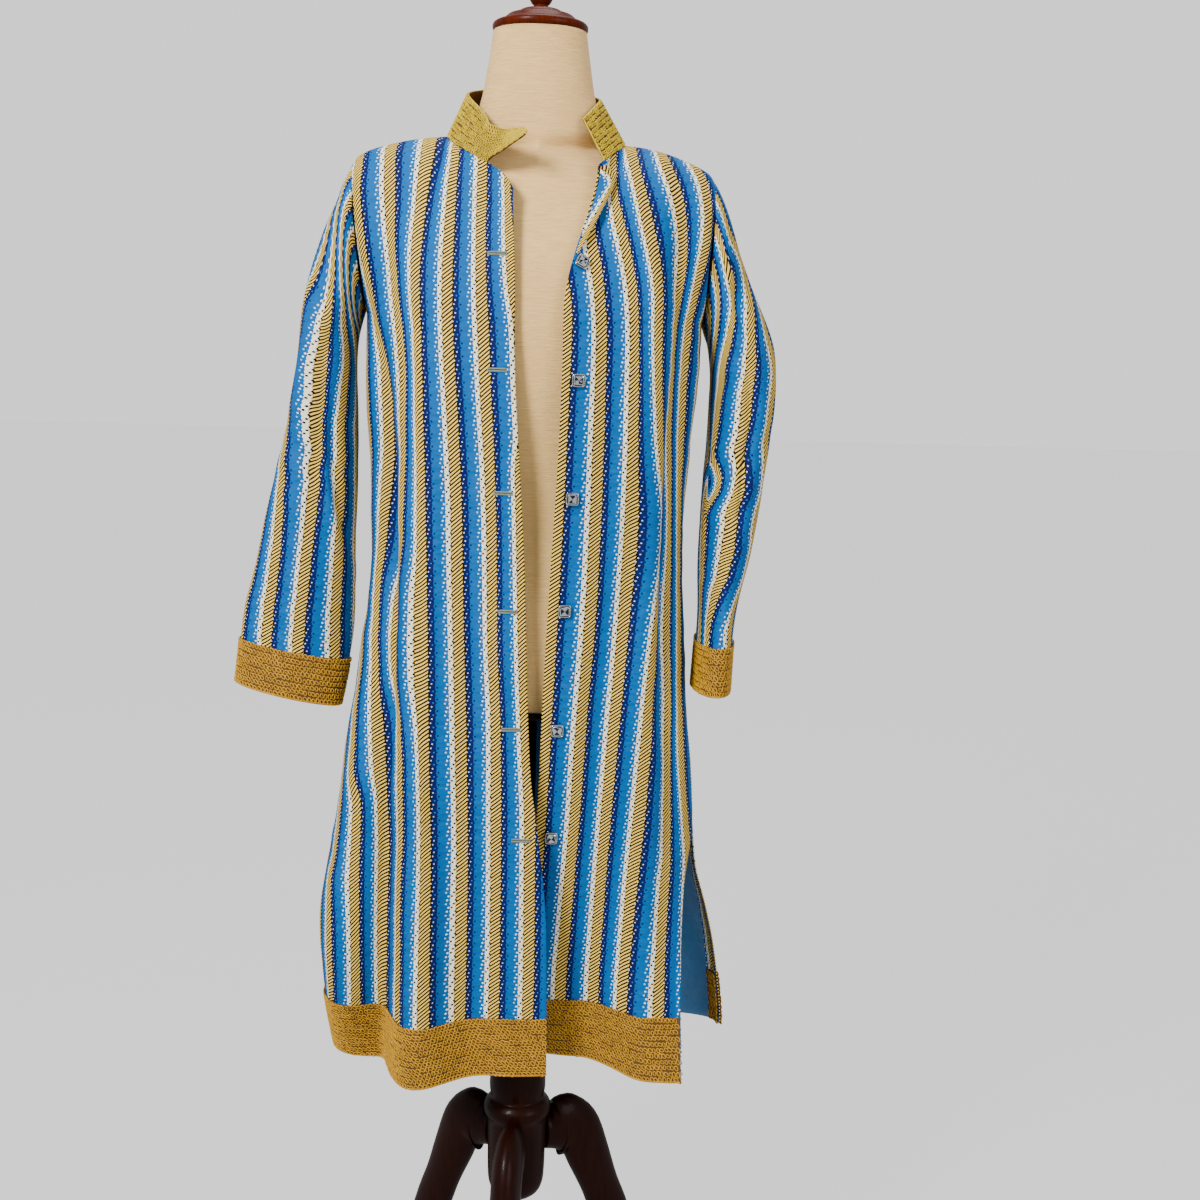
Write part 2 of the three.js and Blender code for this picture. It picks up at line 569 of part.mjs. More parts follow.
function panelLevels(name) {
  const bandTop = hemZ[name] + bandHeight;
  return [...levelsFrom(armpitZ, slitTopZ, lowerStep),
    ...levelsFrom(slitTopZ, bandTop, lowerStep).slice(1),
    ...levelsFrom(bandTop, hemZ[name], bandHeight / 2).slice(1)];
}

function panelGrid(name) {
  const count = name === 'back' ? backColumns : panelColumns;
  const side = name.split('_')[1];
  const rowAt = (z) => (name === 'back' ? backRow(z, count + 1) : frontRow(side, z, count + 1));
  const lower = panelLevels(name).map(rowAt);
  const upper = [];
  for (let i = upperRows; i > 0; i -= 1) {
    upper.push(lower[0].map((low, j) => {
      const t = j / count;
      if (name !== 'back') return yokePoint(low, 'front', side, t, i / upperRows);
      const share = Math.abs(2 * t - 1);
      return yokePoint(low, 'back', t < 0.5 ? 'right' : 'left', share, i / upperRows);
    }));
  }
  return [...upper, ...lower];
}

// At a seam the wall runs straight in, so that it stays clear of the piece beside it
function seamNormals(grid, normals, name) {
  const last = grid[0].length - 1;
  const flat = (normal) => normal.setY(0).normalize();
  for (let i = upperRows; i < grid.length; i += 1) {
    if (name === 'back') flat(normals[i][0]);
    flat(normals[i][last]);
  }
  for (let j = 0; j <= last; j += 1) {
    const share = name === 'back' ? Math.abs((2 * j) / last - 1) : j / last;
    const split = neckShare(name === 'back' ? 'back_right' : name);
    if (share > split - 0.01) flat(normals[0][j]);
  }
  return normals;
}

const bodyAxis = new THREE.Vector3(0, 0, 1150);
const outOfBody = (point) => point.clone().sub(bodyAxis).multiply(new THREE.Vector3(1, 1, 0.4));

function buildPanel(name) {
  const grid = panelGrid(name);
  const normals = seamNormals(grid, gridNormals(grid, false, outOfBody), name);
  return { grid, normals, geometry: wallFromGrid(grid, movedGrid(grid, normals, -clothWall), false) };
}

// A band or lining over the last rows of a panel, between two distances from its face
function overlayRows(piece, rows, near, far, closedAround = false) {
  const grid = piece.grid.slice(-rows);
  const normals = piece.normals.slice(-rows);
  const outer = movedGrid(grid, normals, far);
  return wallFromGrid(outer, movedGrid(grid, normals, near), closedAround);
}

function armholePoint(side, angle) {
  const turn = THREE.MathUtils.euclideanModulo(angle, 2 * Math.PI);
  const panel = turn <= Math.PI ? 'front' : 'back';
  const fromTop = panel === 'front' ? turn / Math.PI : 2 - turn / Math.PI;
  const low = edgeAt(panel, side, armpitZ);
  return yokePoint(low, panel, side, 1, 1 - fromTop);
}

// One ring of a sleeve; angle 0 is its outer side and a quarter turn is its front
function sleeveRing(ring, angle) {
  const outer = new THREE.Vector3(ring.outX, 0, ring.outZ);
  const inner = new THREE.Vector3(ring.inX, 0, ring.inZ);
  const middle = outer.clone().lerp(inner, 0.5);
  const half = outer.clone().sub(inner).multiplyScalar(0.5);
  const depth = (ring.back - ring.front) / 2;
  const point = middle.addScaledVector(half, Math.cos(angle));
  point.y = (ring.front + ring.back) / 2 - depth * Math.sin(angle);
  return point;
}

function sleeveGrid(side) {
  const outward = side === 'right' ? -1 : 1;
  const angles = Array.from({ length: sleeveSides }, (_, j) => (2 * Math.PI * j) / sleeveSides);
  const start = angles.map((angle) => {
    const point = armholePoint(side, angle);
    point.x += outward * lift;
    return point;
  });
  const rings = sleeveRings[side].map((ring) => angles.map((angle) => sleeveRing(ring, angle)));
  return [start, ...rings];
}

function foldSleeve(grid, normals, side) {
  return grid.map((row, i) => row.map((point, j) => {
    let out = 0;
    for (const fold of sleeveFolds[side]) {
      const turn = ((j / sleeveSides) * 360 - fold.side) / fold.wide;
      const along = (i - fold.step) / fold.long;
      out += fold.out * Math.exp(-turn * turn - along * along);
    }
    const free = i === 0 ? 0 : 1;
    return point.clone().addScaledVector(normals[i][j], out * free);
  }));
}

function ringCentre(row) {
  return row.reduce((sum, point) => sum.add(point), new THREE.Vector3()).divideScalar(row.length);
}

// Normals of a tube, turned away from its middle
function tubeNormals(grid) {
  const middle = ringCentre(grid.map(ringCentre));
  return gridNormals(grid, true, (point) => point.clone().sub(middle).setZ(0));
}

function buildSleeve(side) {
  const plain = sleeveGrid(side);
  const grid = foldSleeve(plain, tubeNormals(plain), side);
  const normals = tubeNormals(grid);
  for (const normal of normals[0]) normal.setX(0).normalize();
  const geometry = wallFromGrid(grid, movedGrid(grid, normals, -clothWall), true);
  return { grid, normals, geometry };
}

// Foot and top of the collar at one grid step of a panel's neckline
function collarStation(panel, side, step) {
  const name = `${panel}_${side}`;
  const share = step / neckSteps[name];
  const foot = topPoint(panel, side, share * neckShare(name));
  foot.z += lift;
  return [foot, pointAt(collarTop[name], 'share', share)];
}

function buildCollar() {
  const stations = collarTip.map((row) => [
    new THREE.Vector3(row.x, row.y, row.z), new THREE.Vector3(row.topX, row.topY, row.topZ),
  ]).reverse();
  for (let step = collarStart.front_right; step < neckSteps.front_right; step += 1) {
    stations.push(collarStation('front', 'right', step));
  }
  for (let step = neckSteps.back_right; step > 0; step -= 1) {
    stations.push(collarStation('back', 'right', step));
  }
  for (let step = 0; step <= neckSteps.back_left; step += 1) {
    stations.push(collarStation('back', 'left', step));
  }
  for (let step = neckSteps.front_left - 1; step >= collarStart.front_left; step -= 1) {
    stations.push(collarStation('front', 'left', step));
  }
  const grid = Array.from({ length: collarRows + 1 }, (_, i) => stations.map(([foot, top]) => (
    foot.clone().lerp(top, i / collarRows))));
  const normals = gridNormals(grid, false, (point) => point.clone().setZ(0));
  for (const normal of normals[0]) normal.setZ(0).normalize();
  return wallFromGrid(grid, movedGrid(grid, normals, -collarWall), false);
}

// The place on a front at a distance from its centre edge and at a height
function placeOn(panel, across, z) {
  const column = panel.grid.map((row, i) => {
    let j = 1;
    let run = row[1].distanceTo(row[0]);
    while (run < across && j < row.length - 1) {
      j += 1;
      run += row[j].distanceTo(row[j - 1]);
    }
    const back = (run - across) / row[j].distanceTo(row[j - 1]);
    return {
      point: row[j].clone().lerp(row[j - 1], back),
      normal: panel.normals[i][j].clone().lerp(panel.normals[i][j - 1], back),
    };
  });
  let i = 0;
  while (i < column.length - 2 && column[i + 1].point.z > z) i += 1;
  const [above, below] = [column[i], column[i + 1]];
  const t = (above.point.z - z) / (above.point.z - below.point.z);
  return {
    point: above.point.clone().lerp(below.point, t),
    normal: above.normal.clone().lerp(below.normal, t).normalize(),
  };
}

// Stands a small flat piece on a front, its +Z along the cloth's normal
function standOn(mesh, place, turn = 0, clear = lift) {
  const across = new THREE.Vector3(0, 0, 1).cross(place.normal).normalize();
  const up = place.normal.clone().cross(across);
  mesh.quaternion.setFromRotationMatrix(new THREE.Matrix4().makeBasis(across, up, place.normal));
  mesh.rotateZ(turn);
  mesh.position.copy(place.point).addScaledVector(place.normal, clear);
  return mesh;
}

function roundedShape(width, height, corner) {
  const [x, y] = [width / 2 - corner, height / 2 - corner];
  const shape = new THREE.Shape();
  shape.absarc(x, y, corner, 0, Math.PI / 2);
  shape.absarc(-x, y, corner, Math.PI / 2, Math.PI);
  shape.absarc(-x, -y, corner, Math.PI, 1.5 * Math.PI);
  shape.absarc(x, -y, corner, 1.5 * Math.PI, 2 * Math.PI);
  return shape;
}

function buttonGeometry() {
  const inner = button.side - 2 * button.bevel;
  const geometry = new THREE.ExtrudeGeometry(roundedShape(inner, inner, button.corner - button.bevel), {
    depth: button.height - 2 * button.bevel, bevelThickness: button.bevel,
    bevelSize: button.bevel, bevelSegments: 1, curveSegments: 2,
  });
  return geometry.translate(0, 0, button.bevel);
}

function buttonholeGeometry() {
  const { length, height, proud } = buttonhole;
  return new THREE.ExtrudeGeometry(roundedShape(length, height, height / 2 - 0.05), {
    depth: proud, bevelEnabled: false, curveSegments: 2,
  });
}

function buildFacing() {
  const rows = [];
  const low = frontRow('left', armpitZ, panelColumns + 1);
  const first = turnedFacing[0].rise;
  const last = turnedFacing[turnedFacing.length - 1].rise;
  for (let i = 0; i <= facingRows; i += 1) {
    const rise = first + ((last - first) * i) / facingRows;
    const edge = yokePoint(low[0], 'front', 'left', 0, rise);
    const inward = yokePoint(low[1], 'front', 'left', 1 / panelColumns, rise).sub(edge).normalize();
    const below = yokePoint(low[0], 'front', 'left', 0, rise - 0.05);
    const normal = inward.clone().cross(edge.clone().sub(below)).normalize();
    if (normal.y > 0) normal.negate();
    const width = tableAt(turnedFacing, 'rise', 'width', rise);
    const proud = tableAt(turnedFacing, 'rise', 'proud', rise);
    rows.push(Array.from({ length: facingColumns + 1 }, (_, j) => {
      const t = j / facingColumns;
      const up = seamGap + bandWall + lift + proud * Math.sin((t * Math.PI) / 2);
      return edge.clone().addScaledVector(inward, width * t).addScaledVector(normal, up);
    }));
  }
  const normals = gridNormals(rows, false, () => new THREE.Vector3(0, -1, 0));
  return wallFromGrid(rows, movedGrid(rows, normals, -bandWall), false);
}

// A solid through level or tilted rings, closed at both ends by a fan
function solidFromRings(rings) {
  const sides = rings[0].length;
  const positions = rings.flat().flatMap((point) => point.toArray());
  const index = [];
  for (let i = 0; i < rings.length - 1; i += 1) {
    for (let j = 0; j < sides; j += 1) {
      const [a, b] = [i * sides + j, i * sides + ((j + 1) % sides)];
      index.push(a, b, b + sides, a, b + sides, a + sides);
    }
  }
  for (const [ring, flip] of [[0, true], [rings.length - 1, false]]) {
    const centre = positions.length / 3;
    positions.push(...ringCentre(rings[ring]).toArray());
    for (let j = 0; j < sides; j += 1) {
      const [a, b] = [ring * sides + j, ring * sides + ((j + 1) % sides)];
      index.push(...(flip ? [b, a, centre] : [a, b, centre]));
    }
  }
  return turnedOut(positions, index);
}

function buildTorso() {
  return solidFromRings(formLevels.map((level) => (
    Array.from({ length: formSides }, (_, j) => {
      const power = 2 / level.power;
      const angle = (2 * Math.PI * j) / formSides;
      const across = Math.sign(Math.sin(angle)) * Math.abs(Math.sin(angle)) ** power;
      const along = Math.abs(Math.cos(angle)) ** power;
      const depth = Math.cos(angle) < 0 ? level.back : level.front;
      return new THREE.Vector3(level.half * across, depth * along, level.z);
    }))));
}

function turnedGeometry(profile) {
  const points = profile.map(({ r, z }) => new THREE.Vector2(r, z));
  return new THREE.LatheGeometry(points, turnedSides).rotateX(Math.PI / 2);
}

function buildLeg(angle) {
  const out = new THREE.Vector3(Math.cos(angle), Math.sin(angle), 0);
  const side = new THREE.Vector3(-out.y, out.x, 0);
  const curve = new THREE.CatmullRomCurve3(
    legPath.map(({ reach, z }) => new THREE.Vector3(reach, 0, z)), false, 'centripetal');
  const table = legPath.map((row, i) => ({ ...row, at: i / (legPath.length - 1) }));
  return solidFromRings(Array.from({ length: legSteps + 1 }, (_, i) => {
    const at = i / legSteps;
    const centre = curve.getPoint(at);
    const slope = i === 0 ? new THREE.Vector3(1, 0, 0) : curve.getTangent(at);
    const wide = tableAt(table, 'at', 'wide', at);
    const deep = tableAt(table, 'at', 'deep', at);
    return Array.from({ length: legSides }, (_unused, j) => {
      const turn = (2 * Math.PI * j) / legSides;
      const along = centre.x - slope.z * deep * Math.sin(turn);
      const height = centre.z + slope.x * deep * Math.sin(turn);
      return out.clone().multiplyScalar(along).addScaledVector(side, wide * Math.cos(turn))
        .setZ(Math.max(height, 0));
    });
  }));
}

function material(colour, roughness, metalness = 0) {
  return new THREE.MeshStandardMaterial({ color: colour, roughness, metalness });
}

const materials = {
  cloth: material(colours.cloth, 0.8), braid: material(colours.braid, 0.5),
  lining: material(colours.lining, 0.45), linen: material(colours.linen, 0.9),
  wood: material(colours.wood, 0.3), pole: material(colours.pole, 0.4, 0.6),
  glass: material(colours.glass, 0.05), pipe: material(colours.pipe, 0.8),
};

const coat = new THREE.Group();

function addPiece(name, geometry, finish) {
  const mesh = new THREE.Mesh(geometry, materials[finish]);
  mesh.name = name;
  coat.add(mesh);
  return mesh;
}

const bandFar = seamGap + bandWall;
const panels = {};
for (const name of ['front_right', 'front_left', 'back']) {
  panels[name] = buildPanel(name);
  addPiece(name, panels[name].geometry, 'cloth');
  addPiece(`hem_band_${name}`, overlayRows(panels[name], bandRows, seamGap, bandFar), 'braid');
}
const liningFar = -clothWall - seamGap;
addPiece('back_lining', overlayRows(panels.back, liningRows, liningFar - liningWall, liningFar), 'lining');
addPiece('facing_left', buildFacing(), 'cloth');

for (const side of ['right', 'left']) {
  const sleeve = buildSleeve(side);
  addPiece(`sleeve_${side}`, sleeve.geometry, 'cloth');
  addPiece(`cuff_${side}`, overlayRows(sleeve, cuffRows, seamGap, bandFar, true), 'braid');
}
addPiece('collar', buildCollar(), 'braid');

buttonHeights.forEach((z, i) => {
  const mesh = addPiece(`button_${i + 1}`, buttonGeometry(), 'glass');
  const { inset, turn, clear } = i === 0 ? firstButton : { inset: button.inset, turn: 0, clear: lift };
  standOn(mesh, placeOn(panels.front_left, inset, z), turn, clear);
});
buttonholeHeights.forEach((z, i) => {
  const mesh = addPiece(`buttonhole_${i + 1}`, buttonholeGeometry(), 'pipe');
  standOn(mesh, placeOn(panels.front_right, buttonhole.inset + buttonhole.length / 2, z));
});

addPiece('form_torso', buildTorso(), 'linen');
addPiece('neck_cap', turnedGeometry(capProfile), 'wood');
addPiece('finial', turnedGeometry(finialProfile), 'wood');
addPiece('base_plate', turnedGeometry(baseProfile), 'wood');
addPiece('pole', turnedGeometry(poleProfile), 'pole');
addPiece('column', turnedGeometry(columnProfile), 'wood');
for (const [name, angle] of Object.entries(legAngles)) {
  addPiece(name, buildLeg(THREE.MathUtils.degToRad(angle)), 'wood');
}

// The origin is on the floor, at the middle of the whole piece
const middle = new THREE.Box3().setFromObject(coat).getCenter(new THREE.Vector3());
coat.position.set(-middle.x, -middle.y, 0);

export default coat;
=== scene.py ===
# A long striped coat with a stand collar, worn open on a limbless dress form that
# stands on a turned wooden tripod. Shapes are in millimetres round the stand's axis
# until a mesh is made of them. The wearer faces -Y and the wearer's right is -X.

import math

import bpy
import numpy as np
from mathutils import Matrix, Vector


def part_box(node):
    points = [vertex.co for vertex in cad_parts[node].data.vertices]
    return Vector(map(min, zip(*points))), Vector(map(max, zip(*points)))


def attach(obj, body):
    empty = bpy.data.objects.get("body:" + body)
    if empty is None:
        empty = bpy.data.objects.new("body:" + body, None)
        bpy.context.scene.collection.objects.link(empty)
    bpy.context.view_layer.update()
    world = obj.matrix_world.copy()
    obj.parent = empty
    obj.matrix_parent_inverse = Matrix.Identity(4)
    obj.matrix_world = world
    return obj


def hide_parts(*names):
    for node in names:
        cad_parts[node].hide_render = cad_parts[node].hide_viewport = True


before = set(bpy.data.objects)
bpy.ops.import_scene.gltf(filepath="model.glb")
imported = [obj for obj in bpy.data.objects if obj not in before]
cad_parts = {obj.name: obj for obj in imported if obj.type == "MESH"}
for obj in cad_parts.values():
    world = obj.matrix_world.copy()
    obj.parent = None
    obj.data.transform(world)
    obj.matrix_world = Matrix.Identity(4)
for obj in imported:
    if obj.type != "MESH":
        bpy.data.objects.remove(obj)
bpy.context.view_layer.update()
columnLow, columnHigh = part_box("column")
axis = np.array([
    (columnLow.x + columnHigh.x) * 500, (columnLow.y + columnHigh.y) * 500, 0.0])

armpitZ = 1212
slitTopZ = 660
hemZ = {"front_right": 408, "front_left": 414, "back": 398}
hemTilt = {"front_right": -9, "front_left": -19}
bandHeight = 64
stripe = {"repeat": 36.5, "row": 4.15}

# Each table row is a key and its values
sideSeam = {
    "right": [
        (1212, -178, 8), (1150, -177, 5), (1080, -173, 3), (1010, -170, 1),
        (940, -170, 0), (880, -176, 0), (800, -187, 0), (720, -199, 0), (660, -206, 2)],
    "left": [
        (1212, 178, 6), (1150, 177, 3), (1080, 170, 0), (1010, 166, -2),
        (940, 166, -4), (880, 170, -6), (800, 176, -8), (720, 184, -10), (660, 188, -10)],
}
slitEdge = {
    "front_right": [
        (660, -206, 2), (600, -218, 1), (550, -223, 5), (500, -220, 12),
        (450, -215, 24), (394, -210, 36)],
    "front_left": [
        (660, 188, -10), (600, 178, -34), (500, 175, -62), (450, 176, -75), (394, 178, -88)],
    "back_right": [
        (660, -206, 2), (600, -209, 16), (550, -208, 30), (500, -206, 42),
        (450, -203, 54), (394, -200, 66)],
    "back_left": [
        (660, 188, -10), (605, 197, 16), (550, 213, 42), (500, 225, 58),
        (430, 236, 69), (394, 239, 72)],
}
centreEdge = {
    "front_right": [
        (1336, -24), (1257, -21), (1150, -18), (1050, -11), (960, -5), (824, 1),
        (740, 6), (696, 12), (612, 23), (547, 27), (394, 30)],
    "front_left": [
        (1362, 62), (1312, 47), (1276, 34), (1248, 30), (1150, 29.5), (1050, 27),
        (960, 23), (824, 18), (740, 16), (682, 14), (394, 10)],
}
panelDepth = {
    "front_right": [
        (1212, -117), (1150, -117), (1080, -114), (1010, -111), (940, -110),
        (860, -110), (760, -108), (660, -104), (540, -99), (394, -93)],
    "front_left": [
        (1212, -117), (1150, -116), (1080, -112), (1010, -108), (940, -104),
        (860, -100), (760, -92), (660, -79), (540, -60), (394, -38)],
    "back": [
        (1212, 99), (1150, 94), (1080, 88), (1010, 85), (940, 88), (860, 95),
        (760, 103), (660, 110), (540, 116), (394, 122)],
}
squareness = {
    "front_right": [(760, 2.5), (394, 2.5)],
    "front_left": [(760, 2.5), (600, 1.9), (394, 1.25)],
    "back": [(760, 2.5), (394, 2.5)],
}
# Large folds: height, place across, how far out, and half width
folds = {
    "front_right": [
        [(1212, -120, 0, 26), (1100, -120, 5, 26), (800, -115, 12, 26),
         (600, -110, 23, 27), (394, -102, 39, 31)],
        [(1212, -170, -3, 12), (1120, -150, -10, 12), (950, -147, -13, 12),
         (750, -148, -16, 14), (550, -155, -21, 20), (394, -168, -29, 28)],
        [(900, -165, 0, 14), (700, -182, 5, 14), (550, -198, 8, 16), (394, -196, 0, 16)],
        [(1212, -58, -1, 20), (900, -52, -4, 20), (394, -40, -5, 24)]],
    "front_left": [
        [(1212, 150, -5, 10), (1100, 147, -9, 9), (900, 146, -9, 9),
         (700, 155, -5, 12), (600, 158, 0, 12)],
        [(1212, 126, 3, 14), (1000, 124, 5, 14), (700, 130, 8, 20), (394, 138, 20, 30)],
        [(1212, 80, -2, 18), (900, 80, -4, 18), (394, 72, -8, 24)]],
    "back": [
        [(1212, -110, -3, 22), (900, -108, -9, 22), (394, -120, -18, 28)],
        [(1212, -66, 2, 24), (900, -60, 6, 24), (394, -62, 14, 30)],
        [(1212, 6, -1, 22), (900, 4, -5, 22), (394, -2, -14, 30)],
        [(1212, 70, 2, 24), (900, 66, 6, 24), (394, 72, 16, 30)],
        [(1212, 112, -3, 20), (900, 110, -8, 20), (394, 132, -14, 30)]],
}
shoulderLine = {
    "right": [
        (0, -94, -6, 1396), (0.25, -118, -3, 1394), (0.5, -142, 0, 1390),
        (0.75, -168, 3, 1383.5), (0.92, -186, 5, 1375.5), (1, -193, 5, 1368.5)],
    "left": [
        (0, 91, -6, 1393), (0.25, 114, -3, 1391), (0.5, 138, 0, 1386),
        (0.75, 163, 3, 1377.5), (0.92, 181, 5, 1368.5), (1, 188, 5, 1361.5)],
}
neckline = {
    "front_right": [
        (0, -24, -98, 1336), (0.16, -31, -93, 1347), (0.34, -43, -84, 1357),
        (0.5, -57, -73, 1366), (0.7, -74, -54, 1376.5), (0.86, -88, -30, 1387.5),
        (1, -94, -6, 1396)],
    "front_left": [
        (0, 62, -70, 1364), (0.3, 70, -57, 1372), (0.65, 83, -34, 1384), (1, 91, -6, 1393)],
    "back_right": [
        (0, 0, 72, 1413), (0.34, -40, 66, 1411), (0.62, -72, 44, 1406),
        (0.84, -90, 16, 1400), (1, -94, -6, 1396)],
    "back_left": [
        (0, 0, 72, 1413), (0.34, 38, 66, 1411), (0.62, 69, 44, 1405),
        (0.84, 87, 16, 1398), (1, 91, -6, 1393)],
}
neckShare = {"front_right": 9 / 20, "front_left": 4 / 20, "back_right": 7 / 15, "back_left": 7 / 15}
collarTop = {
    "front_right": [
        (0.44, -49, -74, 1399), (0.7, -58, -53, 1416), (0.86, -69, -32, 1429), (1, -74, -8, 1439)],
    "back_right": [
        (0, 0, 57, 1460), (0.34, -33, 53, 1457), (0.62, -59, 36, 1451),
        (0.84, -72, 14, 1445), (1, -74, -8, 1439)],
    "back_left": [
        (0, 0, 57, 1460), (0.34, 30, 52, 1456), (0.62, 52, 34, 1449),
        (0.84, 62.5, 14, 1443), (1, 64, -8, 1437)],
    "front_left": [(0.25, 46, -57, 1411), (0.65, 58, -32, 1427), (1, 64, -8, 1437)],
}
# The collar's free end: foot, then top
collarTip = [
    (-14, -114, 1386, -12, -112, 1390), (-19, -110, 1382.5, -16, -107, 1391.5),
    (-27, -103, 1378, -23, -99, 1392), (-37, -93, 1372, -32, -88, 1392.5),
    (-47, -83, 1367, -41, -79, 1396)]
turnedFacing = [
    (0.36, 2, 2), (0.56, 11, 5), (0.7, 17, 7), (0.82, 23, 8), (0.92, 13, 5), (0.985, 3, 3)]
# Sleeve rings: outer x and z, inner x and z, front and back
sleeveRings = {
    "right": [
        (-205, 1338, -182.5, 1203, -54, 64), (-225, 1287, -186, 1187, -59, 68),
        (-241, 1234, -187, 1165, -61, 68), (-249, 1168, -186, 1130, -62, 66),
        (-259, 1102, -185, 1082, -59, 62), (-271, 1050, -185, 1035, -55, 56),
        (-282, 1000, -186, 985, -51, 49), (-294, 943, -187, 928, -46, 42),
        (-304, 900, -188, 880, -41, 35), (-309, 864, -192, 843, -37, 29),
        (-314, 817, -202, 793, -36, 26)],
    "left": [
        (201, 1332, 182.5, 1200, -52, 66), (217, 1284, 187, 1188, -56, 70),
        (238, 1236, 190, 1168, -58, 72), (257, 1186, 191, 1140, -58, 72),
        (261, 1128, 190, 1098, -58, 72), (254, 1062, 187, 1045, -60, 72),
        (246, 1002, 185, 990, -62, 70), (236, 950, 185, 940, -64, 66),
        (227, 912, 186, 908, -66, 62), (223, 872, 185, 871, -68, 58),
        (221, 820, 182.5, 820, -68, 56)],
}
# Sleeve folds: angle round, ring, half length in rings, half width in degrees, out
sleeveFolds = {
    "right": [(60, 4.4, 1.4, 26, 5), (98, 5.4, 1.9, 20, -8), (285, 5, 2, 24, -7), (250, 2.4, 1.1, 26, -6)],
    "left": [(70, 2.5, 0.8, 26, -6), (90, 5.2, 1.8, 24, -5), (275, 5.4, 1.7, 24, -6), (300, 2.8, 1, 28, -6)],
}
# Dress form levels: height, half width, front, back, squareness
formLevels = [
    (800.8, 138, -76, 68, 2.2), (806, 146, -83, 75, 2.2), (850, 152, -88, 78, 2.2),
    (905, 148, -88, 74, 2.2), (960, 134, -84, 64, 2.2), (1010, 127, -82, 58, 2.2),
    (1080, 133, -88, 62, 2.2), (1150, 145, -100, 70, 2.2), (1210, 153, -106, 78, 2.2),
    (1260, 157, -102, 82, 2.2), (1300, 162, -90, 78, 2.0), (1335, 166, -77.5, 65.5, 1.6),
    (1356, 165, -70, 55, 1.3), (1366, 159, -67, 49, 1.15), (1373, 149, -64, 45, 1.05),
    (1379.7, 128, -61, 42, 1), (1384, 103.5, -59, 36, 1.05), (1387.3, 85.5, -58, 40, 1.25),
    (1393, 78, -58, 50, 1.6), (1400, 74, -57, 55, 2.0), (1412, 67, -56, 54, 2.2),
    (1438, 59, -54, 51, 2.2), (1470, 53.5, -50, 47, 2.2), (1504, 48.5, -46, 44, 2.2)]
# Turned wood: radius and height
turned = {
    "neck_cap": [
        (0, 1504.3), (48, 1504.3), (49.7, 1507), (49.7, 1511), (47, 1513.5), (40, 1515),
        (36, 1519), (33, 1521.5), (24, 1523), (21, 1526.5), (12, 1528.5), (0, 1528.5)],
    "finial": [
        (0, 1528.8), (9, 1528.8), (7, 1531), (9.5, 1533), (12, 1537), (12.4, 1541),
        (10.5, 1546.5), (6, 1550.4), (0, 1552)],
    "base_plate": [
        (0, 780), (24, 780), (27, 789), (72, 791), (76, 795), (76, 800.5), (0, 800.5)],
    "pole": [(0, 452.3), (12.5, 452.3), (12.5, 779.7), (0, 779.7)],
    "column": [
        (0, 219), (17, 221), (28, 230), (32.5, 245), (33, 315), (35, 319), (38, 325),
        (38, 333), (34, 339), (30, 342), (32, 354), (31, 372), (25, 392), (20, 402),
        (26, 410), (26, 416), (19, 424), (17, 452), (0, 452)],
}
legPath = [
    (33.6, 292, 15, 21), (41, 292, 15.5, 23.5), (50, 293.5, 16.3, 32), (60, 294.5, 17, 37),
    (77, 285, 17, 29), (92, 250.5, 16.5, 26), (106.5, 214.5, 15.5, 23), (119, 183, 15, 23.3),
    (132, 150, 14.5, 22), (149, 112, 14, 20), (172, 70, 13.5, 18), (203, 36, 14, 17),
    (236, 12, 16, 15), (256, 6, 15, 9)]
legAngles = {"leg_front": -97, "leg_back_right": 143, "leg_back_left": 23}


def tableAt(rows, at):
    rows = np.array(sorted(rows, key=lambda row: row[0]), float)
    keys, values = rows[:, 0], rows[:, 1:]
    at = np.clip(np.atleast_1d(np.asarray(at, float)), keys[0], keys[-1])
    slopes = np.empty_like(values)
    slopes[1:-1] = (values[2:] - values[:-2]) / (keys[2:] - keys[:-2])[:, None]
    slopes[0] = (values[1] - values[0]) / (keys[1] - keys[0])
    slopes[-1] = (values[-1] - values[-2]) / (keys[-1] - keys[-2])
    i = np.clip(np.searchsorted(keys, at, side="right") - 1, 0, len(keys) - 2)
    span = (keys[i + 1] - keys[i])[:, None]
    t = (at - keys[i])[:, None] / span
    return ((2 * t**3 - 3 * t**2 + 1) * values[i] + (t**3 - 2 * t**2 + t) * span * slopes[i]
            + (3 * t**2 - 2 * t**3) * values[i + 1] + (t**3 - t**2) * span * slopes[i + 1])


def smoothStep(low, high, value):
    t = np.clip((np.asarray(value, float) - low) / (high - low), 0, 1)
    return t * t * (3 - 2 * t)


def unit(vectors):
    return vectors / np.maximum(np.linalg.norm(vectors, axis=-1, keepdims=True), 1e-9)


def lengthsAlong(points):
    steps = np.linalg.norm(np.diff(points, axis=0), axis=-1)
    return np.concatenate([np.zeros((1,) + steps.shape[1:]), np.cumsum(steps, axis=0)])


def evenly(points, count):
    run = lengthsAlong(points)
    at = np.linspace(0, run[-1], count)
    return np.stack([np.interp(at, run, points[:, k]) for k in range(points.shape[1])], -1)


# Panels: level sections below the armpit, and a yoke up to the shoulder and neckline
def edgeAt(panel, side, z):
    rows = sideSeam[side] if z >= slitTopZ else slitEdge[f"{panel}_{side}"]
    return tableAt(rows, z)[0]


def section(edge, depth, angles, square):
    power = 2 / square
    across = np.sign(angles) * np.abs(np.sin(angles)) ** power
    forward = np.abs(np.cos(angles)) ** power
    return np.stack([edge[0] * across, edge[1] + (depth - edge[1]) * forward], -1)


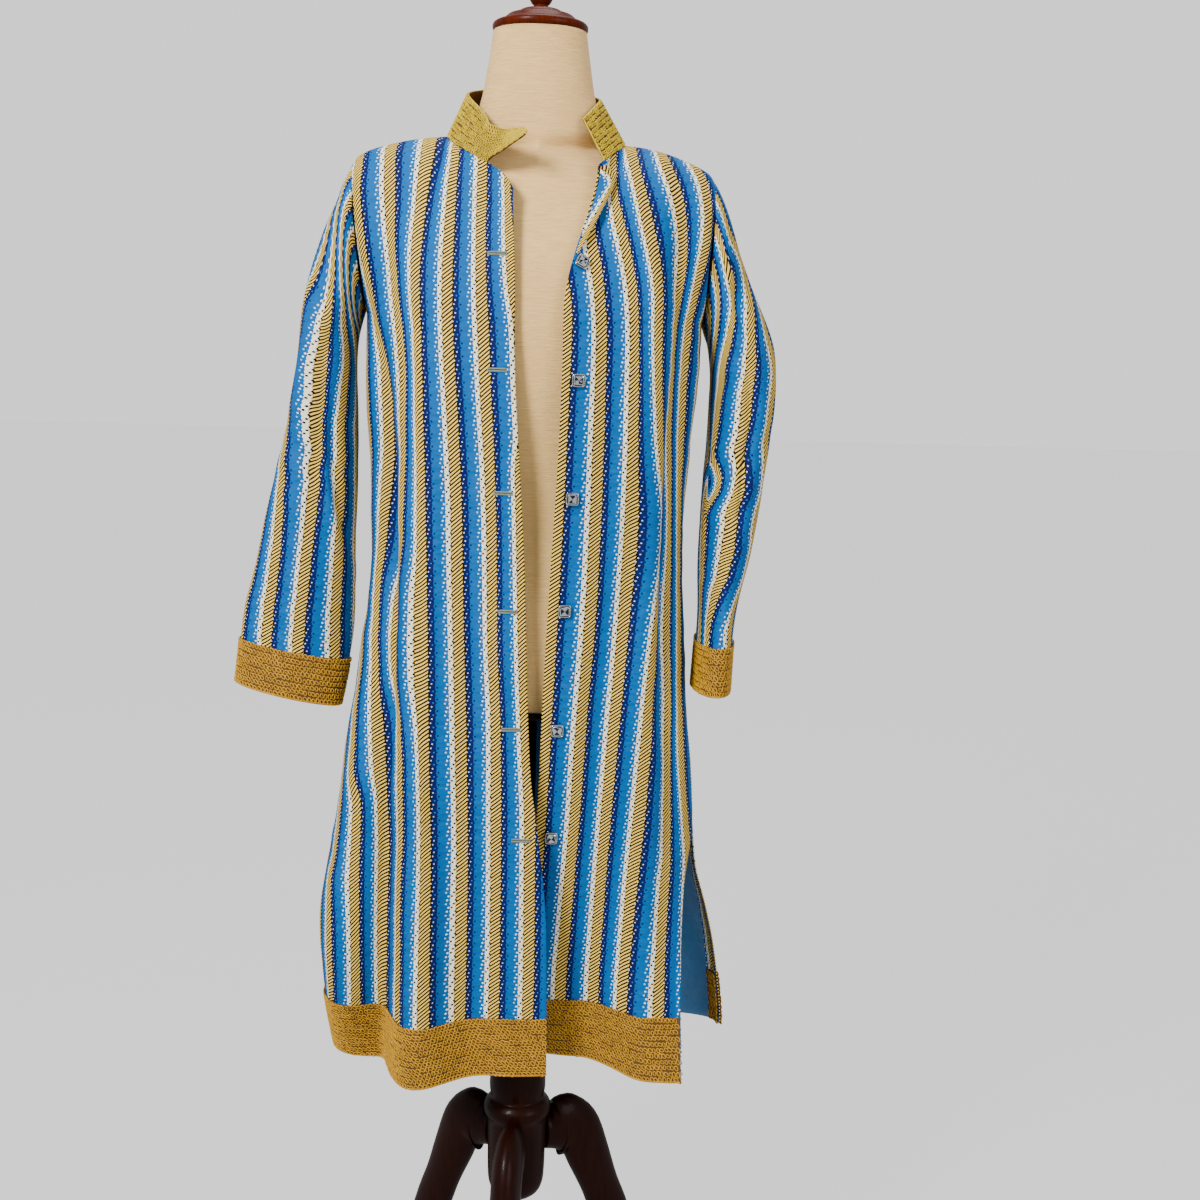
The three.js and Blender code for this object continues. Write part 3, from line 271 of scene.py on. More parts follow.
def addFolds(points, name, z):
    along = np.gradient(points, axis=0)
    normal = unit(np.stack([-along[:, 1], along[:, 0]], -1))
    towards = 1 if name == "back" else -1
    if normal[len(normal) // 2, 1] * towards < 0:
        normal = -normal
    out = np.zeros(len(points))
    for fold in folds[name]:
        if z <= fold[0][0]:
            centre, height, wide = tableAt(fold, z)[0]
            out += height * np.exp(-(((points[:, 0] - centre) / wide) ** 2))
    share = np.linspace(0, 1, len(points))
    held = smoothStep(0, 0.07, share) * smoothStep(0, 0.07, 1 - share)
    moved = points + normal * (out * held)[:, None]
    return np.column_stack([moved, np.full(len(points), float(z))])


def frontRow(side, z, count):
    name = f"front_{side}"
    edge = edgeAt("front", side, z)
    depth = tableAt(panelDepth[name], z)[0, 0]
    centreX = tableAt(centreEdge[name], z)[0, 0]
    square = tableAt(squareness[name], z)[0, 0]
    share = min(abs(centreX / edge[0]), 1) ** (square / 2)
    start = math.copysign(math.asin(share), centreX / edge[0])
    angles = start + (math.pi / 2 - start) * np.linspace(0, 1, 361)
    points = addFolds(evenly(section(edge, depth, angles, square), count), name, z)
    drop = smoothStep(0, 1, (slitTopZ - z) / (slitTopZ - hemZ[name]))
    points[:, 2] += hemTilt[name] * drop * np.linspace(0, 1, count)
    return points


def backRow(z, count):
    depth = tableAt(panelDepth["back"], z)[0, 0]
    square = tableAt(squareness["back"], z)[0, 0]
    angles = np.linspace(-0.5, 0.5, 721) * math.pi
    right = section(edgeAt("back", "right", z), depth, np.abs(angles[:360]), square)
    left = section(edgeAt("back", "left", z), depth, angles[360:], square)
    return addFolds(evenly(np.vstack([right, left]), count), "back", z)


def topPoints(panel, side, shares):
    name = f"{panel}_{side}"
    split = neckShare[name]
    onNeck = tableAt(neckline[name], np.clip(shares / split, 0, 1))
    onShoulder = tableAt(shoulderLine[side], np.clip((shares - split) / (1 - split), 0, 1))
    return np.where((shares > split)[:, None], onShoulder, onNeck)


def yoke(low, panel, side, shares, rise):
    high = topPoints(panel, side, shares)
    split = neckShare[f"{panel}_{side}"]
    forward = -1 if panel == "front" else 1
    nearArm = smoothStep(0.6, 1, shares)
    onShoulder = smoothStep(split * 0.35, split * 1.15, shares)
    zero = np.zeros_like(shares)
    lowHandle = low + np.stack([zero, forward * 62 * nearArm, 58 - 36 * nearArm], -1)
    highHandle = high + np.stack(
        [zero, forward * (10 + 52 * onShoulder), -(40 - 25 * onShoulder)], -1)
    t = rise
    return ((1 - t) ** 3 * low + 3 * (1 - t) ** 2 * t * lowHandle
            + 3 * (1 - t) * t**2 * highHandle + t**3 * high)


def levelsOf(name, step):
    bandTop = hemZ[name] + bandHeight
    parts = []
    for top, bottom in ((armpitZ, slitTopZ), (slitTopZ, bandTop), (bandTop, hemZ[name])):
        count = math.ceil((top - bottom) / step)
        parts.append(np.linspace(top, bottom, count + 1)[1 if parts else 0:])
    return np.concatenate(parts), len(parts[2]) + 1


def panelGrid(name, columns, step=4.0, upper=44):
    levels, bandRows = levelsOf(name, step)
    shares = np.linspace(0, 1, columns)
    if name == "back":
        lower = np.stack([backRow(z, columns) for z in levels])
        half = np.abs(2 * shares - 1)
        isRight = shares < 0.5
        rows = [
            np.where(isRight[:, None], yoke(lower[0], "back", "right", half, rise),
                     yoke(lower[0], "back", "left", half, rise))
            for rise in np.linspace(1, 0, upper + 1)[:-1]]
    else:
        side = name.split("_")[1]
        lower = np.stack([frontRow(side, z, columns) for z in levels])
        rows = [yoke(lower[0], "front", side, shares, rise)
                for rise in np.linspace(1, 0, upper + 1)[:-1]]
    return np.concatenate([np.stack(rows), lower]), upper, bandRows


def gridNormals(grid, closedAround=False):
    if closedAround:
        across = np.roll(grid, -1, axis=1) - np.roll(grid, 1, axis=1)
    else:
        across = np.gradient(grid, axis=1)
    return unit(np.cross(across, np.gradient(grid, axis=0)))


def outward(grid, normals, hint):
    middle = grid[grid.shape[0] // 2, grid.shape[1] // 2]
    sign = np.sign(np.sum(normals[grid.shape[0] // 2, grid.shape[1] // 2] * hint(middle)))
    return normals * sign


# Meshes
def meshObject(name, points, faces, materials, faceMaterials=None, cornerUv=None, smooth=True):
    mesh = bpy.data.meshes.new(name)
    placed = (np.asarray(points, float) + axis) / 1000
    mesh.from_pydata([tuple(p) for p in placed], [], [tuple(int(i) for i in f) for f in faces])
    for material in materials:
        mesh.materials.append(material)
    if faceMaterials is not None:
        mesh.polygons.foreach_set("material_index", np.asarray(faceMaterials, np.int32))
    mesh.polygons.foreach_set("use_smooth", np.full(len(mesh.polygons), smooth))
    if cornerUv is not None:
        layer = mesh.uv_layers.new(name="stripe")
        layer.data.foreach_set("uv", np.asarray(cornerUv, np.float32).ravel())
    mesh.update()
    obj = bpy.data.objects.new(name, mesh)
    bpy.context.scene.collection.objects.link(obj)
    return obj


def gridFaces(rows, columns, closedAround, start=0):
    i, j = np.meshgrid(
        np.arange(rows - 1), np.arange(columns if closedAround else columns - 1), indexing="ij")
    at = start + i * columns + j
    beside = start + i * columns + (j + 1) % columns
    return np.stack([at, beside, beside + columns, at + columns], -1).reshape(-1, 4)


# A thin closed wall with a half round rim
def shellArrays(grid, normals, thickness, closedAround=False):
    rows, columns = grid.shape[:2]
    outer = grid.reshape(-1, 3)
    inner = (grid - normals * thickness).reshape(-1, 3)
    count = rows * columns
    outerFaces = gridFaces(rows, columns, closedAround)
    innerFaces = gridFaces(rows, columns, closedAround, count)[:, ::-1]
    row, column = np.arange(rows), np.arange(columns)
    if closedAround:
        lastRow = (rows - 1) * columns + column
        loops = [(column, column + columns), (lastRow, lastRow - columns)]
    else:
        around = np.concatenate([
            column, row[1:] * columns + columns - 1,
            (rows - 1) * columns + column[::-1][1:], row[::-1][1:-1] * columns])
        i = np.clip(around // columns, 1, rows - 2)
        j = np.clip(around % columns, 1, columns - 2)
        loops = [(around, i * columns + j)]
    points, rims = [outer, inner], []
    start = 2 * count
    for number, (edge, behind) in enumerate(loops):
        out = unit(outer[edge] - outer[behind])
        points.append((outer[edge] + inner[edge]) / 2 + out * thickness * 0.45)
        middle = start + np.arange(len(edge))
        after = np.roll(middle, -1)
        nextEdge = np.roll(edge, -1)
        first = np.stack([nextEdge, edge, middle, after], -1)
        second = np.stack([after, middle, edge + count, nextEdge + count], -1)
        both = np.vstack([first, second])
        rims.append(both[:, ::-1] if number else both)
        start += len(edge)
    faces = np.vstack([outerFaces, innerFaces] + rims)
    kinds = np.concatenate([
        np.zeros(len(outerFaces)), np.ones(len(innerFaces)), np.zeros(sum(map(len, rims)))])
    sources = np.concatenate([np.arange(count), np.arange(count)] + [edge for edge, _ in loops])
    return np.vstack(points), faces, kinds, sources


def turnOut(points, faces):
    a, b, c, d = (points[faces[:, k]] for k in range(4))
    volume = np.sum(a * np.cross(b, c)) + np.sum(a * np.cross(c, d))
    return faces if volume > 0 else faces[:, ::-1]


# A wall whose uv has one column more than the grid where it is closed around
def shell(name, grid, normals, thickness, materials, uv=None, closedAround=False):
    points, faces, kinds, sources = shellArrays(grid, normals, thickness, closedAround)
    turned = turnOut(points, faces)
    if uv is None:
        return meshObject(name, points, turned, materials, kinds)
    rows, columns = grid.shape[:2]
    flat = uv.reshape(-1, 2)
    if closedAround:
        wide = sources // columns * (columns + 1) + sources % columns
        corners = wide[faces]
        wall = gridFaces(rows, columns + 1, False)
        corners[:len(wall)] = wall
        corners[len(wall):2 * len(wall)] = wall[:, ::-1]
    else:
        corners = sources[faces]
    if turned is not faces:
        corners = corners[:, ::-1]
    return meshObject(name, points, turned, materials, kinds, flat[corners.ravel()])


# A round rod along a path, its ends left open, or joined round into a ring when closed
def rodArrays(path, radii, sides=10, closed=False, flat=1.0, up=None):
    path = np.asarray(path, float)
    if closed:
        along = unit(np.roll(path, -1, axis=0) - np.roll(path, 1, axis=0))
    else:
        along = unit(np.gradient(path, axis=0))
    up = np.array([0.0, 0.0, 1.0]) if up is None else np.asarray(up, float)
    side = unit(np.cross(along, up + np.array([1e-4, 2e-4, 0])))
    top = np.cross(side, along)
    turn = np.linspace(0, 2 * math.pi, sides, endpoint=False)
    radii = np.broadcast_to(np.asarray(radii, float), (len(path),))
    rings = (path[:, None] + side[:, None] * (np.cos(turn) * radii[:, None])[..., None]
             + top[:, None] * (np.sin(turn) * radii[:, None] * flat)[..., None])
    points = rings.reshape(-1, 3)
    faces = gridFaces(len(path), sides, True)
    if closed:
        last = (len(path) - 1) * sides
        j = np.arange(sides)
        ahead = (j + 1) % sides
        faces = np.vstack([faces, np.stack([last + j, last + ahead, ahead, j], -1)])
    return points, turnOut(points, faces)


def joined(parts):
    points, faces, start = [], [], 0
    for more, moreFaces in parts:
        points.append(more)
        faces.append(moreFaces + start)
        start += len(more)
    return np.vstack(points), np.vstack(faces)


def lathe(name, profile, material, sides=72, cuts=2):
    line = np.array(profile, float)
    for _ in range(cuts):
        first = line[:-1] * 0.8 + line[1:] * 0.2
        second = line[:-1] * 0.2 + line[1:] * 0.8
        middle = np.stack([first, second], 1).reshape(-1, 2)
        line = np.vstack([line[:1], middle, line[-1:]])
    turn = np.linspace(0, 2 * math.pi, sides, endpoint=False)
    inner = line[1:-1]
    rings = np.stack([
        inner[:, :1] * np.cos(turn), inner[:, :1] * np.sin(turn),
        np.repeat(inner[:, 1:], sides, 1)], -1)
    points = np.vstack([rings.reshape(-1, 3), [[0, 0, line[0, 1]], [0, 0, line[-1, 1]]]])
    faces = [tuple(f) for f in turnOut(points, gridFaces(len(inner), sides, True))]
    low, high, last = len(points) - 2, len(points) - 1, (len(inner) - 1) * sides
    for j in range(sides):
        k = (j + 1) % sides
        faces.append((k, j, low))
        faces.append((last + j, last + k, high))
    return meshObject(name, points, faces, [material])


# Shader nodes
def linear(hexColour):
    values = [int(hexColour[i:i + 2], 16) / 255 for i in (1, 3, 5)]
    flat = [v / 12.92 if v <= 0.04045 else ((v + 0.055) / 1.055) ** 2.4 for v in values]
    return (*flat, 1.0)


def addNode(tree, kind, settings=None, inputs=None):
    node = tree.nodes.new(kind)
    for key, value in (settings or {}).items():
        setattr(node, key, value)
    for key, value in (inputs or {}).items():
        if isinstance(value, bpy.types.NodeSocket):
            tree.links.new(value, node.inputs[key])
        else:
            node.inputs[key].default_value = value
    return node


def maths(tree, operation, *values):
    node = addNode(tree, "ShaderNodeMath", {"operation": operation}, dict(enumerate(values)))
    return node.outputs[0]


def mixed(tree, factor, first, second):
    node = addNode(tree, "ShaderNodeMix", {"data_type": "RGBA"}, {0: factor, 6: first, 7: second})
    return node.outputs[2]


def noise(tree, vector, scale, detail=2.0, roughness=0.5):
    return addNode(tree, "ShaderNodeTexNoise", None, {
        "Vector": vector, "Scale": scale, "Detail": detail, "Roughness": roughness}).outputs["Fac"]


def stretched(tree, vector, scale):
    return addNode(tree, "ShaderNodeMapping", None, {"Vector": vector, "Scale": scale}).outputs[0]


def newMaterial(name):
    material = bpy.data.materials.new(name)
    material.use_nodes = True
    tree = material.node_tree
    shader = tree.nodes["Principled BSDF"]
    coordinates = addNode(tree, "ShaderNodeTexCoord").outputs["Object"]
    return material, tree, shader, coordinates


def setInputs(tree, shader, values):
    for key, value in values.items():
        if isinstance(value, bpy.types.NodeSocket):
            tree.links.new(value, shader.inputs[key])
        else:
            shader.inputs[key].default_value = value


def bump(tree, height, strength, distance, normal=None):
    inputs = {"Height": height, "Strength": strength, "Distance": distance}
    if normal is not None:
        inputs["Normal"] = normal
    return addNode(tree, "ShaderNodeBump", None, inputs).outputs[0]


# Striped cloth: cream, gold twill, navy and blue, with stepped dotted borders
cloth = {
    "cream": "#FFFBEA", "creamShade": "#E6DCBC", "gold": "#FFD55E", "goldLine": "#221200",
    "navy": "#021454", "blue": "#0064AE", "blueDark": "#005088", "black": "#070606",
    "dotPale": "#E2E2E6", "dotBlue": "#1F66BE", "palest": "#9AD4EA",
}
# Places across one repeat, in mm from the palest dots, at steps 0, 1 and 2
weave = {
    "goldCentre": 15.2, "creamDots": (1.0, 2.1, 3.3), "cream": 4.7, "brownDots": (8.2, 9.9, 6.4),
    "gold": 9.2, "black": 21.2, "navy": 22.6, "paleDots": (21.7, 23.3, 24.6), "blueDots": 26.0,
    "blue": 27.9, "navyDots": (28.6, 30.1, 27.6), "bulge": 3.2, "twillSlope": 0.8,
    "lineEdge": (0.44, 0.62),
}
# Radius of each kind of dot, in mm
dotRadius = {"cream": 0.95, "brown": 1.1, "pale": 0.68, "blue": 0.8, "navy": 1.0}


def stripedCloth():
    material, tree, shader, coordinates = newMaterial("striped brocade cloth")
    uv = addNode(tree, "ShaderNodeUVMap", {"uv_map": "stripe"}).outputs[0]
    split = addNode(tree, "ShaderNodeSeparateXYZ", None, {0: uv})
    u, v = split.outputs[0], split.outputs[1]

    def m(operation, *values):
        return maths(tree, operation, *values)

    x = m("FLOORED_MODULO", m("ADD", u, weave["goldCentre"]), stripe["repeat"])
    rows = m("DIVIDE", v, stripe["row"])
    step = m("FLOORED_MODULO", m("FLOOR", rows), 3.0)
    inRow = m("SUBTRACT", m("FRACT", rows), 0.5)
    down = m("MULTIPLY", inRow, stripe["row"])
    isStep = [m("COMPARE", step, float(k), 0.1) for k in range(3)]
    bulge = m("MULTIPLY", m("MULTIPLY", inRow, inRow), weave["bulge"])
    bulged = m("SUBTRACT", x, bulge)

    def past(place):
        return m("GREATER_THAN", bulged, place)

    def stepped(places):
        parts = [m("MULTIPLY", isStep[k], places[k]) for k in range(3)]
        return m("ADD", m("ADD", parts[0], parts[1]), parts[2])

    def dots(place, radius):
        across = m("SUBTRACT", x, place)
        away = m("SQRT", m("ADD", m("MULTIPLY", across, across), m("MULTIPLY", down, down)))
        return m("LESS_THAN", away, radius)

    cloudy = noise(tree, stretched(tree, coordinates, (1, 1, 2.4)), 160.0, 3.0, 0.6)
    blue = mixed(tree, cloudy, linear(cloth["blueDark"]), linear(cloth["blue"]))
    cream = mixed(tree, cloudy, linear(cloth["creamShade"]), linear(cloth["cream"]))
    dotCream = mixed(tree, isStep[0], linear(cloth["cream"]), linear(cloth["palest"]))
    leaning = m("SUBTRACT", v, m("MULTIPLY", u, weave["twillSlope"]))
    twill = m("FRACT", m("DIVIDE", leaning, stripe["row"]))
    ridge = m("SUBTRACT", 1.0, m("MULTIPLY", m("ABSOLUTE", m("SUBTRACT", twill, 0.5)), 2.0))
    inGold = addNode(tree, "ShaderNodeMapRange", {"interpolation_type": "SMOOTHSTEP"}, {
        0: ridge, 1: weave["lineEdge"][0], 2: weave["lineEdge"][1]}).outputs[0]
    gold = mixed(tree, inGold, linear(cloth["goldLine"]), linear(cloth["gold"]))

    layers = [
        (past(weave["cream"]), cream),
        (dots(stepped(weave["creamDots"]), dotRadius["cream"]), dotCream),
        (past(weave["gold"]), gold),
        (dots(stepped(weave["brownDots"]), dotRadius["brown"]), linear(cloth["black"])),
        (past(weave["black"]), linear(cloth["black"])),
        (past(weave["navy"]), linear(cloth["navy"])),
        (dots(stepped(weave["paleDots"]), dotRadius["pale"]), linear(cloth["dotPale"])),
        (m("MULTIPLY", isStep[0], dots(weave["blueDots"], dotRadius["blue"])),
         linear(cloth["dotBlue"])),
        (past(weave["blue"]), blue),
        (dots(stepped(weave["navyDots"]), dotRadius["navy"]), linear(cloth["navy"])),
    ]
    colour = blue
    for where, what in layers:
        colour = mixed(tree, where, colour, what)

    isGold = m("MULTIPLY", past(weave["gold"]), m("SUBTRACT", 1.0, past(weave["black"])))
    threads = noise(tree, coordinates, 1400.0, 2.0, 0.6)
    wrinkle = noise(tree, stretched(tree, coordinates, (1, 1, 3.4)), 42.0, 2.0, 0.5)
    raised = m("MULTIPLY", isGold, inGold)
    height = m("ADD", m("MULTIPLY", raised, 0.6), m("MULTIPLY", threads, 0.25))
    soft = bump(tree, wrinkle, 0.4, 0.005)
    setInputs(tree, shader, {
        "Base Color": colour, "Roughness": 0.7, "Specular IOR Level": 0.12,
        "Normal": bump(tree, height, 0.55, 0.0006, soft)})
    return material


def plainCloth(name, colours, roughness, scale, relief, sheen=0.2):
    material, tree, shader, coordinates = newMaterial(name)
    cloudy = noise(tree, coordinates, scale[0], 3.0, 0.6)
    colour = mixed(tree, cloudy, linear(colours[0]), linear(colours[1]))
    fine = noise(tree, coordinates, scale[1], 2.0, 0.6)
    setInputs(tree, shader, {
        "Base Color": colour, "Roughness": roughness, "Sheen Weight": sheen,
        "Normal": bump(tree, fine, relief[0], relief[1])})
    return material


def linenCloth():
    # Cream linen: fine threads both ways, with slubs that run level
    material, tree, shader, coordinates = newMaterial("cream slub linen")
    slub = noise(tree, stretched(tree, coordinates, (1, 1, 14)), 55.0, 4.0, 0.65)
    level = noise(tree, stretched(tree, coordinates, (1, 1, 22)), 70.0, 2.0, 0.5)
    upright = noise(tree, stretched(tree, coordinates, (22, 22, 1)), 60.0, 2.0, 0.5)
    blotch = noise(tree, coordinates, 14.0, 2.0, 0.5)
    weave = maths(tree, "ADD", level, maths(tree, "MULTIPLY", upright, 0.6))
    base = mixed(tree, slub, linear("#D0903E"), linear("#FFE09A"))
    colour = mixed(tree, maths(tree, "MULTIPLY", blotch, 0.3), base, linear("#F4BE70"))
    height = maths(tree, "ADD", weave, maths(tree, "MULTIPLY", slub, 1.4))
    setInputs(tree, shader, {
        "Base Color": colour, "Roughness": 0.85, "Sheen Weight": 0.15,
        "Normal": bump(tree, height, 0.75, 0.0009)})
    return material


def varnishedWood(name, dark, light, roughness):
    # Close mahogany grain under a clear varnish
    material, tree, shader, coordinates = newMaterial(name)
    grain = noise(tree, stretched(tree, coordinates, (9, 9, 1.2)), 28.0, 5.0, 0.6)
    pores = noise(tree, stretched(tree, coordinates, (60, 60, 4)), 30.0, 2.0, 0.5)
    colour = mixed(tree, grain, linear(dark), linear(light))
    colour = mixed(tree, maths(tree, "MULTIPLY", pores, 0.35), colour, linear(dark))
    setInputs(tree, shader, {
        "Base Color": colour, "Roughness": roughness, "Specular IOR Level": 0.07,
        "Coat Weight": 0.04, "Coat Roughness": 0.12,
        "Normal": bump(tree, pores, 0.08, 0.0004)})
    return material


def goldThread(name, dark, light, metallic, roughness):
    material, tree, shader, coordinates = newMaterial(name)
    patch = noise(tree, coordinates, 90.0, 3.0, 0.6)
    strand = noise(tree, coordinates, 900.0, 2.0, 0.6)
    softly, sharply = maths(tree, "MULTIPLY", patch, 0.7), maths(tree, "MULTIPLY", strand, 0.35)
    blend = maths(tree, "ADD", softly, sharply)
    colour = mixed(tree, blend, linear(dark), linear(light))
    setInputs(tree, shader, {
        "Base Color": colour, "Metallic": metallic, "Roughness": roughness,
        "Normal": bump(tree, strand, 0.25, 0.0003)})
    return material


def plainMaterial(name, colour, **values):
    material, tree, shader, _ = newMaterial(name)
    finish = {key.replace("_", " "): value for key, value in values.items()}
    setInputs(tree, shader, {"Base Color": linear(colour), **finish})
    return material


stripes = stripedCloth()
lining = plainCloth(
    "blue satin lining", ("#0E4C80", "#2E86C0"), 0.4, (11.0, 60.0), (0.5, 0.004), 0.3)
linen = linenCloth()
capWood = varnishedWood("red mahogany", "#1E0600", "#6E2204", 0.32)
darkWood = varnishedWood("dark mahogany", "#080100", "#2C0C02", 0.4)
braidGround = goldThread("brown gold braid ground", "#2A1600", "#6A4404", 0.0, 0.8)
braidThread = goldThread("bright gold braid thread", "#7E5202", "#E8AE10", 0.1, 0.5)
collarThread = goldThread("pale gold braid thread", "#6A5000", "#FFDC10", 0.1, 0.5)
pipedCloth = plainCloth(
    "grey green piping", ("#4E5A48", "#8A9482"), 0.6, (200.0, 1500.0), (0.3, 0.0003))
# A near black rod in each buttonhole slot: painted shade
slotShade = plainMaterial("painted shade in buttonhole slot", "#0C0D10", Roughness=0.9)
# Cut glass over foil: lit and shaded copies of one glass, the dark facets painted reflection and shade
glass = plainMaterial("bright cut glass facets", "#C4CCD2", Metallic=0.85, Roughness=0.12)
glassShade = plainMaterial("shaded cut glass facets", "#12161A", Metallic=0.3, Roughness=0.1)
# Lit and shaded copies of one silver: the top rim takes the bright one, the sides and inner wall the dark
# one, painted shade
silver = plainMaterial("polished silver setting", "#DADDE0", Metallic=1.0, Roughness=0.2)
silverShade = plainMaterial("shaded silver setting", "#1A1C20", Metallic=0.6, Roughness=0.35)
poleMaterial = plainMaterial("dark painted pole", "#1C1614", Metallic=0.4, Roughness=0.4)


def settle(obj, slotName, *nodes):
    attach(obj, "root")
    if nodes:
        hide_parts(*nodes)
    return obj


# Soft troughs and ridges drawn as paths of (x, z) seen from the front or back
def creased(grid, normals, creases, facing):
    seen = np.clip(normals[..., 1] * facing, 0, 1) ** 0.5
    x, z = grid[..., 0], grid[..., 2]
    out = np.zeros(x.shape)
    for path, wide, height in creases:
        path = np.array(path, float)
        run = lengthsAlong(path)
        nearest = np.full(x.shape, 1e9)
        place = np.zeros(x.shape)
        for k in range(len(path) - 1):
            step = path[k + 1] - path[k]
            fromX, fromZ = x - path[k, 0], z - path[k, 1]
            t = np.clip((fromX * step[0] + fromZ * step[1]) / (step @ step), 0, 1)
            distance = np.hypot(fromX - t * step[0], fromZ - t * step[1])
            closer = distance < nearest
            nearest = np.where(closer, distance, nearest)
            place = np.where(closer, run[k] + t * (run[k + 1] - run[k]), place)
        taper = np.sin(np.clip(place / run[-1], 0.02, 0.98) * math.pi) ** 0.6
        out += height * taper * np.exp(-((nearest / wide) ** 2))
    return grid + normals * (out * seen)[..., None]


# Slight waves of hanging cloth, level with the weft and along the warp
def rippled(grid, normals, amount, seed):
    waves = np.random.default_rng(seed)
    x, y, z = grid[..., 0], grid[..., 1], grid[..., 2]
    out = np.zeros(x.shape)
    for _ in range(9):
        acrossWave = 2 * math.pi / waves.uniform(34, 90)
        downWave = 2 * math.pi / waves.uniform(90, 300)
        phase = waves.uniform(0, 6.3, 2)
        slanting = np.sin((x + 0.7 * y) * acrossWave + z * downWave * 0.5 + phase[0])
        out += slanting * np.sin(z * downWave + phase[1])
    for _ in range(5):
        tilt = waves.uniform(-0.35, 0.35)
        downWave = 2 * math.pi / waves.uniform(26, 60)
        where = np.sin(
            z / waves.uniform(60, 140) + x / waves.uniform(50, 110) + waves.uniform(0, 6.3)) ** 2
        out += 0.35 * where * np.sin((z + x * tilt) * downWave + waves.uniform(0, 6.3))
    return grid + normals * (out * amount / 3)[..., None]


def seamDip(grid, normals, distance, depth=1.1, wide=5.0):
    return grid - normals * (depth * np.exp(-((distance / wide) ** 2)))[..., None]


# Stripe coordinates: u is the distance across the stripes and v the height. Each gold
# stripe that shows is given by its number and its (height, place across) seen from the front
goldStripes = {
    "front_right": {
        0: [(1335, -29.7), (1251, -23.8), (1205, -18.9), (1028, -10.8), (790, -0.9), (704, 5.5),
            (617, 7.1), (528, 8.4)],
        -1: [(1354, -55.3), (1250, -54), (1196, -51), (1117, -46.4), (1037, -40.4), (955, -37.7),
             (873, -35.5), (789, -30.3), (659, -28.9), (526, -28)],
        -2: [(1375, -83.9), (1250, -87.3), (1195, -86.5), (1116, -80.8), (1036, -76.1),
             (954, -73.5), (788, -67.2), (659, -63.5), (526, -63.3)],
        -3: [(1372, -113.9), (1263, -120.3), (1155, -116.5), (1034, -112.3), (871, -107.7),
             (788, -106.2), (662, -101.8), (534, -101.7)],
        -4: [(1365, -152), (1234, -141.3), (1194, -134), (1144, -129), (1074, -130), (992, -132.6),
             (905, -139.4), (842, -139.4), (754, -128.9), (572, -129.5)],
        -5: [(1331, -186.1), (1235, -171.3), (1194, -162), (1154, -152.5), (1093, -148.1),
             (1020, -152.2), (945, -158.5), (883, -160.1), (778, -156.4), (669, -150.1), (556, -150.5)],
        -6: [(691, -176.4), (625, -178.6), (558, -177.8)],
        -7: [(598, -207.1), (518, -207.4)]},
    "front_left": {
        0: [(1237, 30.8), (1203, 31.6), (787, 20.4), (699, 17.6), (505, 10.9)],
        1: [(1283, 54.6), (1258, 61.3), (1199, 67.2), (1120, 67.3), (1039, 66.9), (957, 65.5),
            (873, 62.1), (787, 57.1), (698, 54.5), (606, 49.6), (505, 44)],
        2: [(1367, 75.8), (1323, 79.8), (1279, 90.2), (1240, 98.3), (1200, 100.9), (1039, 102.6),
            (957, 101), (872, 97.2), (786, 92), (697, 87.5), (604, 83.9), (504, 80.4)],
        3: [(1380, 96), (1325, 105.9), (1281, 115.7), (1241, 123), (1201, 123.9), (1121, 129.4),
            (1039, 136.6), (954, 136.8), (872, 132.6), (787, 127.2), (698, 122.3), (607, 116.2),
            (509, 110.7)],
        4: [(1375, 128.5), (1328, 146.6), (1283, 151.4), (1241, 149.8), (1203, 145.4), (1131, 142.3),
            (1048, 145.3), (953, 147.4), (889, 147.6), (803, 152.3), (714, 155), (658, 156.2),
            (603, 154.2), (511, 150.9)],
        5: [(1373, 162.7), (1358, 173.4), (1298, 175.9), (1238, 163.6), (1203, 158.3), (1132, 153.4),
            (1048, 154.6), (963, 158.5), (867, 162), (780, 164.8), (700, 172.8), (640, 181.7)]},
    "sleeve_right": {
        0: [(1335, -202.3), (1264, -204), (1214, -210.1), (1165, -215.2), (1119, -218),
            (1082, -221.1), (1026, -226.2), (969, -233.1), (902, -240.5), (863, -244.9)],
        -1: [(1229, -238.9), (1183, -246), (1146, -251), (1083, -259), (1015, -262),
             (958, -267), (890, -275.3), (865, -277.7)],
        -2: [(906, -302.2), (863, -308.9)],
        1: [(1157, -193.4), (1120, -197.1), (1083, -199), (1007, -200.5), (959, -201.4),
            (901, -204.4), (852, -205.7)]},
    "sleeve_left": {
        -1: [(1260, 185.1), (1232, 188.6), (1205, 190.6), (1178, 190.4)],
        0: [(1277, 210.4), (1241, 206.8), (1205, 202.7), (1169, 198.5), (1131, 196.5),
            (1097, 193.7), (1053, 190), (1014, 186.4)],
        1: [(1259, 227.5), (1224, 226), (1187, 225.5), (1136, 222.8), (1104, 220.3),
            (1065, 218.8), (1028, 214.6), (990, 209.3), (962, 204.9), (933, 197.9), (893, 191)],
        2: [(1184, 257.4), (1161, 256), (1133, 251), (1093, 248), (1024, 248.9), (995, 244.8),
            (969, 236), (955, 230)]},
}


